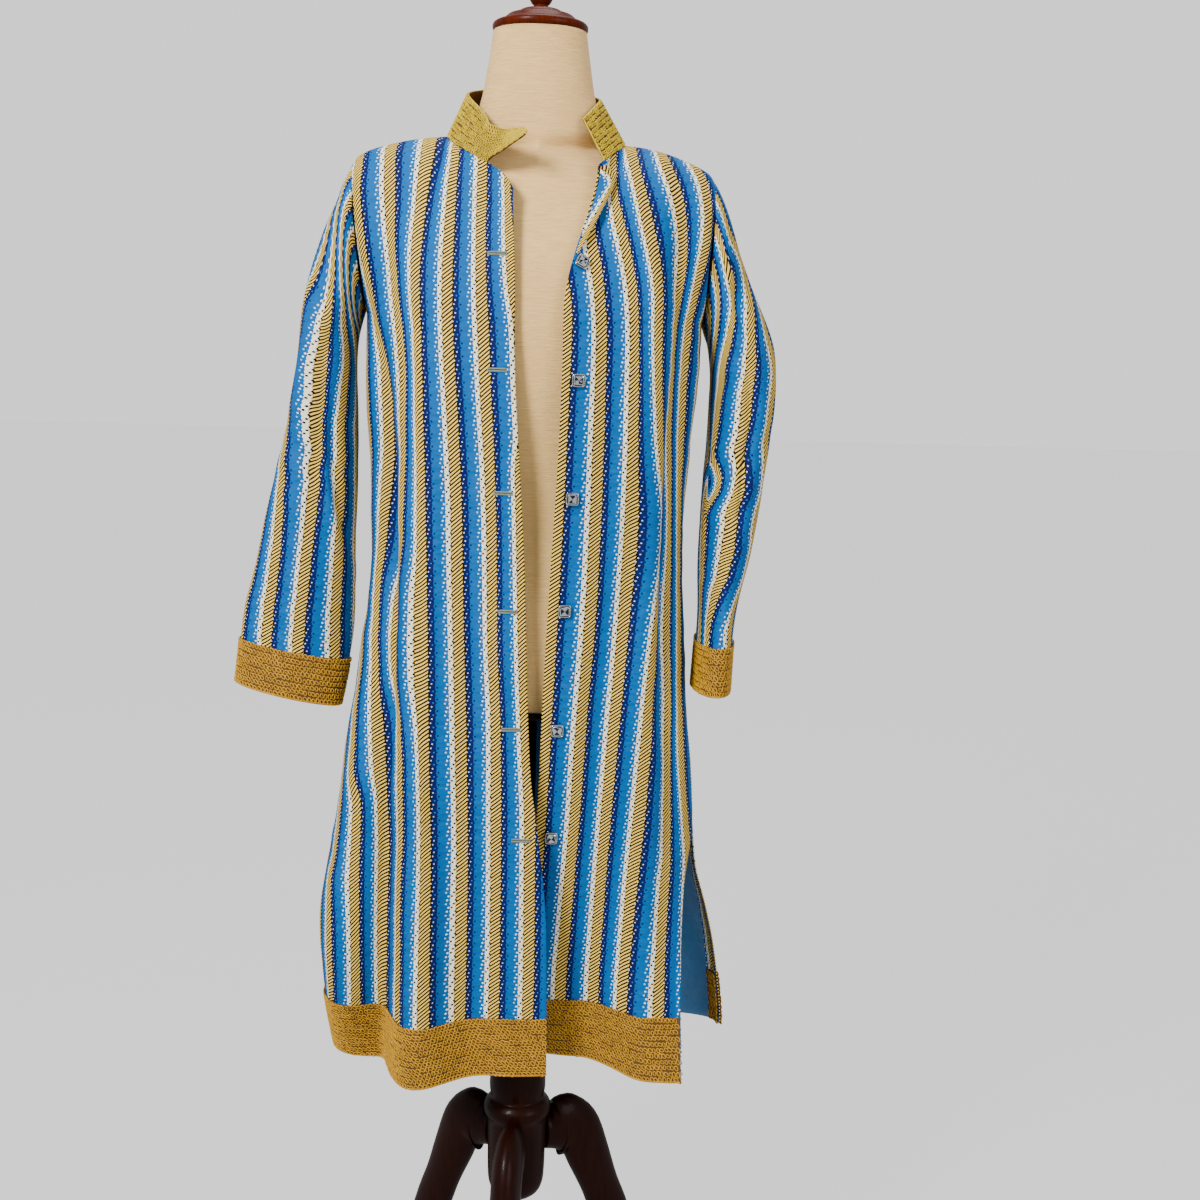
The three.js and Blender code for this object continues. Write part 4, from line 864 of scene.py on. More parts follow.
# Stripe distance along each row of a grid, drawn through the gold stripes' places
def acrossStripes(name, grid, run, side):
    shift = np.zeros(run.shape)
    known = np.zeros(len(grid), bool)
    for i, row in enumerate(grid):
        found = []
        for number, places in goldStripes[name].items():
            lowest, highest = places[-1][0] - 150, places[0][0] + 25
            at = tableAt(places, row[:, 2])[:, 0]
            gap = np.where((row[:, 2] > lowest) & (row[:, 2] < highest), row[:, 0] - at, np.nan)
            crossing = np.nonzero(gap[:-1] * gap[1:] <= 0)[0]
            if name.startswith("sleeve"):
                crossing = [j for j in crossing if row[j, 1] < row[:, 1].mean()]
            else:
                crossing = list(crossing)
            if crossing:
                j = crossing[0]
                share = gap[j] / (gap[j] - gap[j + 1] + 1e-9)
                place = run[i, j] + share * (run[i, j + 1] - run[i, j])
                found.append((place, number * stripe["repeat"]))
        if not found:
            continue
        found.sort()
        places = [place for place, _ in found]
        free = [u - side * place for place, u in found]
        shift[i] = np.interp(run[i], places, free)
        known[i] = True
    rows = np.arange(len(grid))
    for j in range(run.shape[1]):
        shift[:, j] = np.interp(rows, rows[known], shift[known, j])
    kernel = np.exp(-(np.arange(-9, 10) / 4.0) ** 2)
    padded = np.pad(shift, ((9, 9), (0, 0)), mode="edge")
    smooth = sum(k * padded[n:n + len(grid)] for n, k in enumerate(kernel)) / kernel.sum()
    return side * run + smooth


# Height along the stripes, as nearly square to u as the cloth allows, from the row that
# is given: relaxation steps, and how strongly neighbours across hold each other
relaxing = {"steps": 900, "sideways": 4}


def alongStripes(grid, normals, u, start):
    a, b = np.gradient(grid, axis=1), np.gradient(grid, axis=0)
    uAcross, uDown = np.gradient(u, axis=1)[..., None], np.gradient(u, axis=0)[..., None]
    e, f, g = (np.sum(p * q, axis=-1, keepdims=True) for p, q in ((a, a), (a, b), (b, b)))
    steepest = a * (g * uAcross - f * uDown) + b * (e * uDown - f * uAcross)
    up = unit(np.cross(normals, steepest))
    up *= np.sign(up[..., 2].mean())
    downward = np.sum((up[1:] + up[:-1]) / 2 * np.diff(grid, axis=0), axis=-1)
    level = np.sum((up[:, 1:] + up[:, :-1]) / 2 * np.diff(grid, axis=1), axis=-1)
    heavy = 1 / np.maximum(np.linalg.norm(np.diff(grid, axis=0), axis=-1), 0.5) ** 2
    sideways = relaxing["sideways"] / np.maximum(np.linalg.norm(np.diff(grid, axis=1), axis=-1), 0.5) ** 2
    weight = np.zeros(u.shape)
    weight[1:] += heavy
    weight[:-1] += heavy
    weight[:, 1:] += sideways
    weight[:, :-1] += sideways
    v = np.concatenate([[0], np.cumsum(downward.mean(axis=1))])[:, None] + np.zeros(u.shape)
    for _ in range(relaxing["steps"]):
        pull = np.zeros(u.shape)
        pull[1:] += heavy * (v[:-1] + downward)
        pull[:-1] += heavy * (v[1:] - downward)
        pull[:, 1:] += sideways * (v[:, :-1] + level)
        pull[:, :-1] += sideways * (v[:, 1:] - level)
        v = pull / weight
    return v - v[start].mean()


def panelStripes(name, grid, normals, upper):
    run = lengthsAlong(grid.swapaxes(0, 1)).T
    if name == "back":
        u = run[:, -1:] / 2 - run
    else:
        u = acrossStripes(name, grid, run, -1 if name == "front_right" else 1)
    return np.stack([u, alongStripes(grid, normals, u, upper)], -1), run


creases = {
    "front_right": [
        ([(-160, 1330), (-150, 1270), (-146, 1215), (-148, 1150)], 9, -3.0),
        ([(-135, 1300), (-128, 1240), (-130, 1180)], 10, 2.0),
        ([(-140, 1205), (-110, 1190), (-80, 1185)], 7, -1.2),
        ([(-30, 1332), (-46, 1322), (-60, 1318)], 4, -2.0),
        ([(-28, 1322), (-38, 1308), (-50, 1302)], 4, -1.6),
        ([(-186, 1262), (-162, 1190), (-146, 1124), (-140, 1000), (-137, 915), (-135, 800),
          (-134, 705), (-136, 560), (-142, 430)], 5, -3.6),
        ([(-104, 1110), (-98, 1000), (-100, 860), (-96, 720)], 9, 2.0),
        ([(-60, 1100), (-64, 980), (-58, 860), (-60, 760)], 9, -1.5),
        ([(-84, 700), (-80, 560), (-78, 470)], 10, -2.2),
        ([(-20, 900), (-26, 800), (-22, 700)], 8, 1.2),
        ([(-30, 640), (-34, 560), (-30, 480)], 9, -1.6),
    ],
    "front_left": [
        ([(150, 1320), (146, 1270), (150, 1215), (146, 1160)], 8, -2.6),
        ([(126, 1310), (120, 1250), (124, 1190)], 10, 1.6),
        ([(60, 1300), (72, 1240), (70, 1180), (74, 1100)], 9, -1.6),
        ([(45, 1260), (70, 1240), (96, 1232)], 7, -1.2),
        ([(100, 1040), (104, 930), (100, 820)], 10, -1.6),
        ([(52, 980), (56, 860), (50, 740)], 10, 1.4),
        ([(118, 760), (112, 640), (116, 520)], 10, -2.0),
        ([(40, 640), (44, 540), (40, 470)], 10, -1.6),
    ],
    "back": [
        ([(-150, 1330), (-140, 1270), (-146, 1200)], 9, -2.6),
        ([(150, 1325), (140, 1260), (146, 1190)], 9, -2.6),
        ([(-40, 1380), (0, 1372), (40, 1380)], 6, -1.2),
        ([(-60, 1040), (-20, 1028), (40, 1034)], 7, -1.4),
        ([(-20, 1000), (30, 990), (80, 996)], 7, -1.2),
        ([(-90, 960), (-86, 820), (-92, 700)], 10, -1.8),
        ([(40, 940), (36, 800), (40, 660)], 10, -1.8),
        ([(92, 700), (96, 600), (92, 500)], 10, 1.8),
    ],
}
columnsOf = {"front_right": 120, "front_left": 110, "back": 180}
panels = {}
for name in ("front_right", "front_left", "back"):
    grid, upper, bandRows = panelGrid(name, columnsOf[name])
    facing = 1 if name == "back" else -1
    normals = outward(grid, gridNormals(grid), lambda point, f=facing: np.array([0, f, 0]))
    uv, run = panelStripes(name, grid, normals, upper)
    quiet = smoothStep(0, 14, run) * smoothStep(0, 14, run[:, -1:] - run)
    quiet *= smoothStep(0, 16, lengthsAlong(grid))
    quiet *= smoothStep(0, 60, grid[..., 2] - hemZ[name] - 10)
    shaped = creased(grid, normals * quiet[..., None], creases[name], facing)
    shaped = rippled(shaped, normals * quiet[..., None], 1.0, len(name))
    seam = run[:, -1:] - run
    if name == "back":
        seam = np.minimum(run, seam)
    aboveSlit = smoothStep(slitTopZ - 6, slitTopZ + 6, grid[..., 2])
    shaped = seamDip(shaped, normals, seam + 40 * (1 - aboveSlit))
    settled = outward(shaped, gridNormals(shaped), lambda point, f=facing: np.array([0, f, 0]))
    panels[name] = {"grid": shaped, "normals": settled, "uv": uv, "run": run, "bandRows": bandRows}
    obj = shell(f"{name}_cloth", shaped, settled, 1.5, [stripes, lining], uv)
    settle(obj, "cloth", name)
    panels[name]["object"] = obj
print("panels", [len(panels[name]["object"].data.polygons) for name in panels])


# Sleeves
def armhole(side, angles):
    turn = np.mod(angles, 2 * math.pi)
    points = []
    for angle in turn:
        panel = "front" if angle <= math.pi else "back"
        fromTop = angle / math.pi if panel == "front" else 2 - angle / math.pi
        low = np.append(edgeAt(panel, side, armpitZ), armpitZ)[None]
        points.append(yoke(low, panel, side, np.array([1.0]), 1 - fromTop)[0])
    return np.array(points)


def sleeveGrid(side, sides, step):
    angles = np.linspace(-2.2, 2 * math.pi - 2.2, sides, endpoint=False)
    rings = [armhole(side, angles)]
    for outX, outZ, inX, inZ, front, back in sleeveRings[side]:
        turn = np.cos(angles)
        rings.append(np.stack([
            (outX + inX) / 2 + (outX - inX) / 2 * turn,
            (front + back) / 2 - (back - front) / 2 * np.sin(angles),
            (outZ + inZ) / 2 + (outZ - inZ) / 2 * turn], -1))
    rings = np.stack(rings)
    keys = lengthsAlong(rings).mean(axis=1)
    count = math.ceil(keys[-1] / step)
    cuffFrom = math.floor(count * keys[-2] / keys[-1])
    at = np.concatenate([
        np.linspace(0, keys[-2], cuffFrom + 1),
        np.linspace(keys[-2], keys[-1], count - cuffFrom + 1)[1:]])
    rows = np.column_stack([keys, rings.reshape(len(rings), -1)])
    grid = tableAt(rows, at).reshape(len(at), sides, 3)
    return grid, np.interp(at, keys, np.arange(len(keys))), cuffFrom, angles


sleeveCreases = {
    "right": [
        ([(-196, 1255), (-214, 1225), (-232, 1190)], 8, -3.0),
        ([(-192, 1215), (-206, 1180), (-222, 1150)], 8, -2.6),
        ([(-250, 1130), (-232, 1100), (-214, 1084)], 8, 2.2),
        ([(-256, 1090), (-236, 1060), (-216, 1046)], 8, -3.0),
        ([(-203, 1140), (-206, 1085), (-205, 1040), (-198, 995), (-187, 952)], 4.5, -6.0),
        ([(-213, 1120), (-215, 1050), (-208, 1000), (-197, 950)], 7, 3.0),
        ([(-262, 1030), (-244, 1006), (-224, 996)], 8, 1.8),
        ([(-276, 980), (-250, 950), (-226, 938)], 9, -1.8),
        ([(-300, 910), (-270, 880), (-230, 872)], 9, -1.2),
    ],
    "left": [
        ([(196, 1250), (212, 1222), (228, 1196)], 8, -2.8),
        ([(194, 1210), (208, 1180), (228, 1160)], 8, -2.6),
        ([(252, 1150), (232, 1110), (206, 1090)], 9, 2.0),
        ([(258, 1110), (236, 1076), (208, 1060)], 8, -2.6),
        ([(250, 1050), (228, 1020), (204, 1010)], 8, -2.0),
        ([(220, 1180), (227, 1135), (229, 1095), (224, 1070), (222, 1030), (219, 985)], 4.5, -5.0),
        ([(238, 1160), (240, 1100), (234, 1050), (230, 1000)], 7, 2.5),
        ([(238, 980), (220, 950), (200, 944)], 8, 1.4),
    ],
}
sleeves = {}
for side, sign in (("right", -1), ("left", 1)):
    grid, rings, cuffFrom, angles = sleeveGrid(side, 96, 4.0)
    normals = gridNormals(grid, True)
    middle = grid.mean(axis=(0, 1))
    normals *= np.sign(np.sum(normals * (grid - middle) * [1, 1, 0]))
    out = np.zeros(grid.shape[:2])
    for place, step, long, wide, height in sleeveFolds[side]:
        turn = (np.mod(np.degrees(angles) - place + 180, 360) - 180)[None] / wide
        along = (rings[:, None] - step) / long
        out += height * np.exp(-turn**2 - along**2)
    free = smoothStep(0, 1, rings)[:, None]
    shaped = grid + normals * (out * free)[..., None]
    quiet = smoothStep(0, 20, lengthsAlong(grid))
    quiet = quiet * smoothStep(0, 8, len(grid) - 6 - np.arange(len(grid)))[:, None]
    shaped = creased(shaped, normals * quiet[..., None], sleeveCreases[side], -1)
    shaped = creased(shaped, normals * quiet[..., None], sleeveCreases[side], 1)
    shaped = rippled(shaped, normals * quiet[..., None], 0.8, 11 + sign)
    shaped = seamDip(shaped, normals, lengthsAlong(grid), 1.0, 4.0)
    settled = gridNormals(shaped, True)
    settled *= np.sign(np.sum(settled * normals))
    around = np.linalg.norm(np.roll(shaped, -1, axis=1) - shaped, axis=-1)
    run = np.concatenate([np.zeros((len(shaped), 1)), np.cumsum(around, axis=1)], axis=1)
    whole = np.concatenate([shaped, shaped[:, :1]], axis=1)
    wholeNormals = np.concatenate([settled, settled[:, :1]], axis=1)
    u = acrossStripes(f"sleeve_{side}", whole, run, -sign)
    v = alongStripes(whole, wholeNormals, u, len(whole) // 2)
    sleeves[side] = {"grid": shaped, "normals": settled, "cuffFrom": cuffFrom}
    uv = np.stack([u, v], -1)
    obj = shell(f"sleeve_{side}_cloth", shaped, settled, 1.5, [stripes, lining], uv, True)
    settle(obj, "cloth", f"sleeve_{side}")
    sleeves[side]["object"] = obj
print("sleeves", [len(s["object"].data.polygons) for s in sleeves.values()])


# Braid: rows of slanted chain loops on a brown gold ground, with a rolled edge
braid = {
    "row": 6.1, "pitch": 4.5, "length": 5.6, "width": 3.3, "thread": 0.72, "slant": -52,
    "sway": 0.35, "swayLength": 8.5, "ringSides": 7, "threadSides": 4}


def loopGroup():
    tree = bpy.data.node_groups.new("chain loops", "GeometryNodeTree")
    interface = tree.interface
    interface.new_socket("Geometry", in_out="INPUT", socket_type="NodeSocketGeometry")
    for label in ("Loop length", "Loop width", "Thread"):
        interface.new_socket(label, in_out="INPUT", socket_type="NodeSocketFloat")
    interface.new_socket("Finish", in_out="INPUT", socket_type="NodeSocketMaterial")
    interface.new_socket("Geometry", in_out="OUTPUT", socket_type="NodeSocketGeometry")
    given = tree.nodes.new("NodeGroupInput")
    result = tree.nodes.new("NodeGroupOutput")
    ring = addNode(tree, "GeometryNodeCurvePrimitiveCircle", None, {
        "Resolution": braid["ringSides"], "Radius": 0.5})
    size = addNode(tree, "ShaderNodeCombineXYZ", None, {
        "X": given.outputs["Loop length"], "Y": given.outputs["Loop width"], "Z": 1.0})
    oval = addNode(tree, "GeometryNodeTransform", None, {
        "Geometry": ring.outputs["Curve"], "Scale": size.outputs[0]})
    profile = addNode(tree, "GeometryNodeCurvePrimitiveCircle", None, {
        "Resolution": braid["threadSides"], "Radius": given.outputs["Thread"]})
    link = addNode(tree, "GeometryNodeCurveToMesh", None, {
        "Curve": oval.outputs[0], "Profile Curve": profile.outputs["Curve"]})
    smooth = addNode(tree, "GeometryNodeSetShadeSmooth", None, {"Geometry": link.outputs[0]})
    turn, scale = (
        addNode(tree, "GeometryNodeInputNamedAttribute", {"data_type": kind}, {"Name": name})
        for kind, name in (("QUATERNION", "turn"), ("FLOAT", "size")))
    placed = addNode(tree, "GeometryNodeInstanceOnPoints", None, {
        "Points": given.outputs["Geometry"], "Instance": smooth.outputs[0],
        "Rotation": turn.outputs[0], "Scale": scale.outputs[0]})
    real = addNode(tree, "GeometryNodeRealizeInstances", None, {"Geometry": placed.outputs[0]})
    finish = addNode(tree, "GeometryNodeSetMaterial", None, {
        "Geometry": real.outputs[0], "Material": given.outputs["Finish"]})
    tree.links.new(finish.outputs[0], result.inputs[0])
    return tree


loops = loopGroup()


def chainLoops(name, places, turns, sizes, material):
    mesh = bpy.data.meshes.new(name)
    mesh.from_pydata([tuple(p) for p in (places + axis) / 1000], [], [])
    for label, kind, given in (("turn", "QUATERNION", turns), ("size", "FLOAT", sizes)):
        attribute = mesh.attributes.new(label, kind, "POINT")
        attribute.data.foreach_set("value", np.asarray(given, np.float32).ravel())
    obj = bpy.data.objects.new(name, mesh)
    bpy.context.scene.collection.objects.link(obj)
    modifier = obj.modifiers.new("loops", "NODES")
    modifier.node_group = loops
    values = {
        "Loop length": braid["length"] / 1000, "Loop width": braid["width"] / 1000,
        "Thread": braid["thread"] / 1000, "Finish": material}
    for item in loops.interface.items_tree:
        if item.in_out == "INPUT" and item.name in values:
            modifier[item.identifier] = values[item.name]
    bpy.context.view_layer.update()
    evaluated = obj.evaluated_get(bpy.context.evaluated_depsgraph_get())
    final = bpy.data.meshes.new_from_object(evaluated)
    obj.modifiers.clear()
    obj.data = final
    final.name = name
    return obj


def gridAt(grid, row, column):
    i = np.clip(np.floor(row).astype(int), 0, grid.shape[0] - 2)
    j = np.clip(np.floor(column).astype(int), 0, grid.shape[1] - 2)
    a, b = (row - i)[..., None], (column - j)[..., None]
    return ((1 - a) * (1 - b) * grid[i, j] + (1 - a) * b * grid[i, j + 1]
            + a * (1 - b) * grid[i + 1, j] + a * b * grid[i + 1, j + 1])


# Rows of loops over a grid whose rows run along the braid, from its top to its edge
def braidLoops(
        name, grid, normals, material, closedAround=False, seed=1, edge=2.2, mix=20, scale=1.0):
    shake = np.random.default_rng(seed)
    if closedAround:
        grid = np.concatenate([grid, grid[:, :1]], axis=1)
        normals = np.concatenate([normals, normals[:, :1]], axis=1)
    down = lengthsAlong(grid).mean(axis=1)
    count = max(round((down[-1] - 2 * edge) / (braid["row"] * scale)), 1)
    places, turns, sizes = [], [], []
    for r in range(count + 1):
        height = edge + (down[-1] - 2 * edge) * r / count
        row = np.interp(height, down, np.arange(len(down)))
        line = gridAt(grid, np.full(grid.shape[1], row), np.arange(grid.shape[1], dtype=float))
        run = lengthsAlong(line)
        number = max(int(run[-1] / (braid["pitch"] * scale)), 2)
        start = 0.5 if r % 2 else 0.0
        along = (np.arange(number) + start + shake.uniform(-0.12, 0.12, number)) * run[-1] / number
        along = np.clip(along, 1.5, run[-1] - 1.5) if not closedAround else np.mod(along, run[-1])
        column = np.interp(along, run, np.arange(len(run)))
        sway = braid["sway"] * np.sin(along / braid["swayLength"] + 2.1 * r)
        sway += shake.uniform(-0.4, 0.4, number)
        rowHere = np.interp(np.clip(height + sway, 1.6, down[-1] - 1.6), down, np.arange(len(down)))
        rowHere = np.clip(rowHere, 0, len(down) - 1.001)
        place = gridAt(grid, rowHere, column)
        normal = unit(gridAt(normals, rowHere, column))
        ahead = gridAt(grid, rowHere, np.clip(column + 0.5, 0, grid.shape[1] - 1.001))
        behind = gridAt(grid, rowHere, np.clip(column - 0.5, 0, grid.shape[1] - 1.001))
        tangent = unit(ahead - behind)
        if tangent[len(tangent) // 2] @ [1, 0, 0] * -normal[len(normal) // 2, 1] < 0:
            tangent = -tangent
        upward = np.cross(normal, tangent)
        slant = np.radians(braid["slant"] + shake.uniform(-mix, mix, number))[:, None]
        longWay = tangent * np.cos(slant) + upward * np.sin(slant)
        shortWay = np.cross(normal, longWay)
        lean = np.radians(shake.uniform(-10, 10, number))[:, None]
        tilted = shortWay * np.cos(lean) + normal * np.sin(lean)
        flat = np.cross(longWay, tilted)
        for k in range(number):
            basis = Matrix((longWay[k], tilted[k], flat[k])).transposed()
            turns.append(tuple(basis.to_quaternion()))
        places.append(place + normal * 0.35)
        sizes.append(shake.uniform(0.88, 1.12, number) * scale)
    return chainLoops(name, np.vstack(places), turns, np.concatenate(sizes), material)


def braidBand(name, node, grid, normals, material, closedAround=False, seed=1):
    outer = grid + normals * 1.3
    grounds = [braidGround, braidGround]
    ground = shell(f"{name}_ground", outer, normals, 1.2, grounds, None, closedAround)
    settle(ground, "braid", node)
    stitches = braidLoops(f"{name}_stitches", outer, normals, material, closedAround, seed)
    settle(stitches, "braid")
    path = grid[-1] + normals[-1] * 0.5
    rope = joined([rodArrays(path, 1.35, 8, closed=closedAround)])
    edging = meshObject(f"{name}_edging", rope[0], rope[1], [material])
    settle(edging, "braid")
    return [ground, stitches, edging]


bands = {}
for name in ("front_right", "front_left", "back"):
    panel = panels[name]
    rows = panel["bandRows"]
    bands[name] = braidBand(
        f"hem_band_{name}", f"hem_band_{name}", panel["grid"][-rows:], panel["normals"][-rows:],
        braidThread, seed=len(name))
cuffs = {}
for side in ("right", "left"):
    sleeve = sleeves[side]
    start = sleeve["cuffFrom"]
    cuffs[side] = braidBand(
        f"cuff_{side}", f"cuff_{side}", sleeve["grid"][start:], sleeve["normals"][start:],
        braidThread, True, seed=3)
trims = sum(bands.values(), []) + sum(cuffs.values(), [])
print("bands and cuffs", sum(len(obj.data.polygons) for obj in trims))


# Collar
def collarGrid(rows=18, step=3.0):
    stations = [list(row) for row in collarTip]
    order = [
        ("front", "right", [k / 9 for k in range(4, 9)]),
        ("back", "right", [k / 7 for k in range(7, 0, -1)]),
        ("back", "left", [k / 7 for k in range(0, 8)]),
        ("front", "left", [k / 4 for k in range(3, 0, -1)])]
    for panel, side, shares in order:
        name = f"{panel}_{side}"
        shares = np.array(shares, float)
        foot = topPoints(panel, side, shares * neckShare[name])
        foot[:, 2] += 0.4
        top = tableAt(collarTop[name], shares)
        stations += [list(row) for row in np.hstack([foot, top])]
    stations = np.array(stations)
    keys = lengthsAlong(stations[:, :3])
    count = math.ceil(keys[-1] / step)
    fine = tableAt(np.column_stack([keys, stations]), np.linspace(0, keys[-1], count + 1))
    share = np.linspace(1, 0, rows)[:, None, None]
    foot, top = fine[None, :, :3], fine[None, :, 3:]
    return foot * (1 - share) + top * share


grid = collarGrid()
normals = outward(grid, gridNormals(grid), lambda point: point * [1, 1, 0])
collar = shell("collar_ground", grid, normals, 2.4, [braidGround, braidGround])
settle(collar, "braid", "collar")
collarStitches = braidLoops(
    "collar_stitches", grid, normals, collarThread, seed=5, edge=1.8, mix=40, scale=0.74)
settle(collarStitches, "braid")
rim = np.vstack([grid[::-1, 0], grid[0, 1:], grid[1:, -1]]) - np.vstack(
    [normals[::-1, 0], normals[0, 1:], normals[1:, -1]]) * 1.0
points, faces = rodArrays(rim, 1.0, 8)
collarEdge = meshObject("collar_edging", points, faces, [collarThread])
settle(collarEdge, "braid")
print("collar", len(collarStitches.data.polygons))

# The striped cloth and the braid turn in at the slits: width, and the stripe place at the edge
slitTurn = {"width": 23, "stripe": 9.3, "columns": 9}


def turnedIn(name, side, depth):
    panel = panels[name]
    grid, run = panel["grid"], panel["run"]
    away = np.linspace(0.8, slitTurn["width"], slitTurn["columns"])
    first = int(np.argmax(grid[:, 0 if side == "right" else -1, 2] < slitTopZ - 6))
    points, normals, height = [], [], []
    for i in range(first, len(grid)):
        place = away if side == "right" else run[i, -1] - away
        row = np.full(slitTurn["columns"], min(float(i), len(grid) - 1.001))
        column = np.interp(place, run[i], np.arange(run.shape[1]))
        normals.append(unit(gridAt(panel["normals"], row, column)))
        points.append(gridAt(grid, row, column) - normals[-1] * depth)
        height.append(gridAt(panel["uv"], row, column)[:, 1])
    points, normals = np.stack(points), -np.stack(normals)
    uv = np.stack([slitTurn["stripe"] - away + np.zeros(points.shape[:2]), np.stack(height)], -1)
    label = f"{name}_slit_{side}"
    turned = shell(f"{label}_turned_cloth", points, normals, 0.4, [stripes, stripes], uv)
    settle(turned, "cloth")
    rows = panel["bandRows"]
    bandNormals = normals[-rows:]
    braided = points[-rows:] + bandNormals * 1.0
    ground = shell(f"{label}_turned_braid", braided, bandNormals, 0.8, [braidGround, braidGround])
    settle(ground, "braid")
    stitches = braidLoops(
        f"{label}_turned_stitches", braided, bandNormals, braidThread, seed=len(label))
    settle(stitches, "braid")
    return [turned, ground, stitches]


turnedPieces = {
    "back": turnedIn("back", "left", 2.9) + turnedIn("back", "right", 2.9),
    "front_right": turnedIn("front_right", "side", 2.0),
    "front_left": turnedIn("front_left", "side", 2.0)}

# Lining of the back, on every second row and column of the lower back
panel = panels["back"]
part = np.s_[-131::2, ::2]
liningGrid = panel["grid"][part] - panel["normals"][part] * 1.9
backLining = shell("back_lining_satin", liningGrid, panel["normals"][part], 0.5, [lining, lining])
settle(backLining, "lining", "back_lining")

# Facing turned out at the top of the left front
low = frontRow("left", armpitZ, 21)
rows = []
for rise in np.linspace(0.36, 0.985, 46):
    edge = yoke(low[0:1], "front", "left", np.array([0.0]), rise)[0]
    inward = unit(yoke(low[1:2], "front", "left", np.array([0.05]), rise)[0] - edge)
    below = yoke(low[0:1], "front", "left", np.array([0.0]), rise - 0.05)[0]
    normal = unit(np.cross(inward, edge - below))
    if normal[1] > 0:
        normal = -normal
    width, proud = tableAt(turnedFacing, rise)[0]
    t = np.linspace(0, 1, 22)
    curl = 2.4 + proud * np.sin(t * math.pi / 2)
    rows.append(edge + inward * (width * t)[:, None] + normal * curl[:, None])
facing = np.stack(rows)
normals = outward(facing, gridNormals(facing), lambda point: np.array([0, -1, 0]))
across = lengthsAlong(facing.swapaxes(0, 1)).T
height = lengthsAlong(facing)[:, :1] + np.zeros_like(across)
facingUv = np.stack([across - across[:, -1:] + 2.5, height], -1)
facingCloth = shell("facing_left_cloth", facing, normals, 1.2, [stripes, lining], facingUv)
settle(facingCloth, "cloth", "facing_left")


# Buttons and buttonholes
def placeOn(name, across, z):
    panel = panels[name]
    grid, run = panel["grid"], panel["run"]
    j = np.array([np.interp(across, run[i], np.arange(run.shape[1])) for i in range(len(grid))])
    column = gridAt(grid, np.arange(len(grid), dtype=float), j)
    i = np.interp(-z, -column[:, 2], np.arange(len(grid)))
    row, place = np.array([i]), np.array([np.interp(i, np.arange(len(j)), j)])
    at = gridAt(grid, row, place)[0]
    normal = unit(gridAt(panel["normals"], row, place)[0])
    across3 = unit(np.cross([0, 0, 1], normal))
    return at, np.stack([across3, np.cross(normal, across3), normal])


# Rings of a rounded square: half width, height and squareness, from the cloth up
def cushion(levels, sides):
    turn = np.linspace(0, 2 * math.pi, sides, endpoint=False)
    rings = []
    for half, height, power in levels:
        c, s = np.cos(turn), np.sin(turn)
        x = np.sign(c) * np.abs(c) ** (2 / power) * half
        y = np.sign(s) * np.abs(s) ** (2 / power) * half
        rings.append(np.stack([x, y, np.full(sides, height)], -1))
    points = np.concatenate(rings)
    faces = turnOut(points, gridFaces(len(levels), sides, True))
    return points, faces


def capped(points, faces, sides):
    start = len(points)
    top = points[-sides:].mean(axis=0)
    base = points[:sides].mean(axis=0)
    more = np.vstack([points, base, top])
    j = np.arange(sides)
    k = (j + 1) % sides
    fans = [tuple(int(n) for n in f) for f in faces]
    fans += [(int(b), int(a), start) for a, b in zip(j, k)]
    fans += [(int(start - sides + a), int(start - sides + b), start + 1) for a, b in zip(j, k)]
    return more, fans


button = {
    "heights": (1265, 1149, 1030, 914, 787, 668), "inset": 16, "firstInset": 10,
    "firstTurn": -0.47, "lift": 0.9, "bezelSides": 40, "stoneSides": 16,
    "bezel": [
        (5.2, 0.0, 4.2), (6.4, 0.3, 4.6), (6.6, 1.2, 4.8), (6.6, 2.6, 4.8), (6.3, 3.1, 4.8),
        (5.9, 3.0, 4.8), (5.7, 1.4, 4.8), (0.01, 1.2, 4.8)],
    "shadedRings": (0, 1, 2, 5, 6),
    "stone": [
        (4.0, 1.5, 5), (5.6, 2.2, 5), (5.8, 3.0, 5), (5.2, 3.9, 5), (4.2, 4.5, 5), (3.4, 4.6, 5)],
}
buttonhole = {
    "heights": (1271, 1157, 1034, 913, 790, 671), "half": 9.5, "inset": 8, "spread": 1.15,
    "lip": 0.95, "points": 24,
}
for number, z in enumerate(button["heights"], 1):
    first = number == 1
    at, basis = placeOn("front_left", button["firstInset" if first else "inset"], z)
    turn = button["firstTurn"] if first else 0.0
    spin = np.array([
        [math.cos(turn), math.sin(turn), 0], [-math.sin(turn), math.cos(turn), 0], [0, 0, 1]])

    def placed(points):
        return at + (points @ spin + [0, 0, button["lift"]]) @ basis

    bezel, bezelFaces = cushion(button["bezel"], button["bezelSides"])
    # Bezel rings below and inside the rim take the dark silver, painted shade
    rows = np.arange(len(bezelFaces)) // button["bezelSides"]
    setting = meshObject(
        f"button_{number}_setting", placed(bezel), bezelFaces, [silver, silverShade],
        np.isin(rows, button["shadedRings"]).astype(int))
    settle(setting, "glass", f"button_{number}")
    sides = button["stoneSides"]
    stone, stoneFaces = cushion(button["stone"], sides)
    points, faces = capped(stone, stoneFaces, sides)
    # Every few facets take the dark glass: painted reflection and shade
    shaded = [(5 * k + 3 * (k // sides) + number) % 7 in (0, 3, 5) for k in range(len(faces))]
    cut = meshObject(
        f"button_{number}_glass", placed(points), faces, [glass, glassShade], shaded, smooth=False)
    settle(cut, "glass")
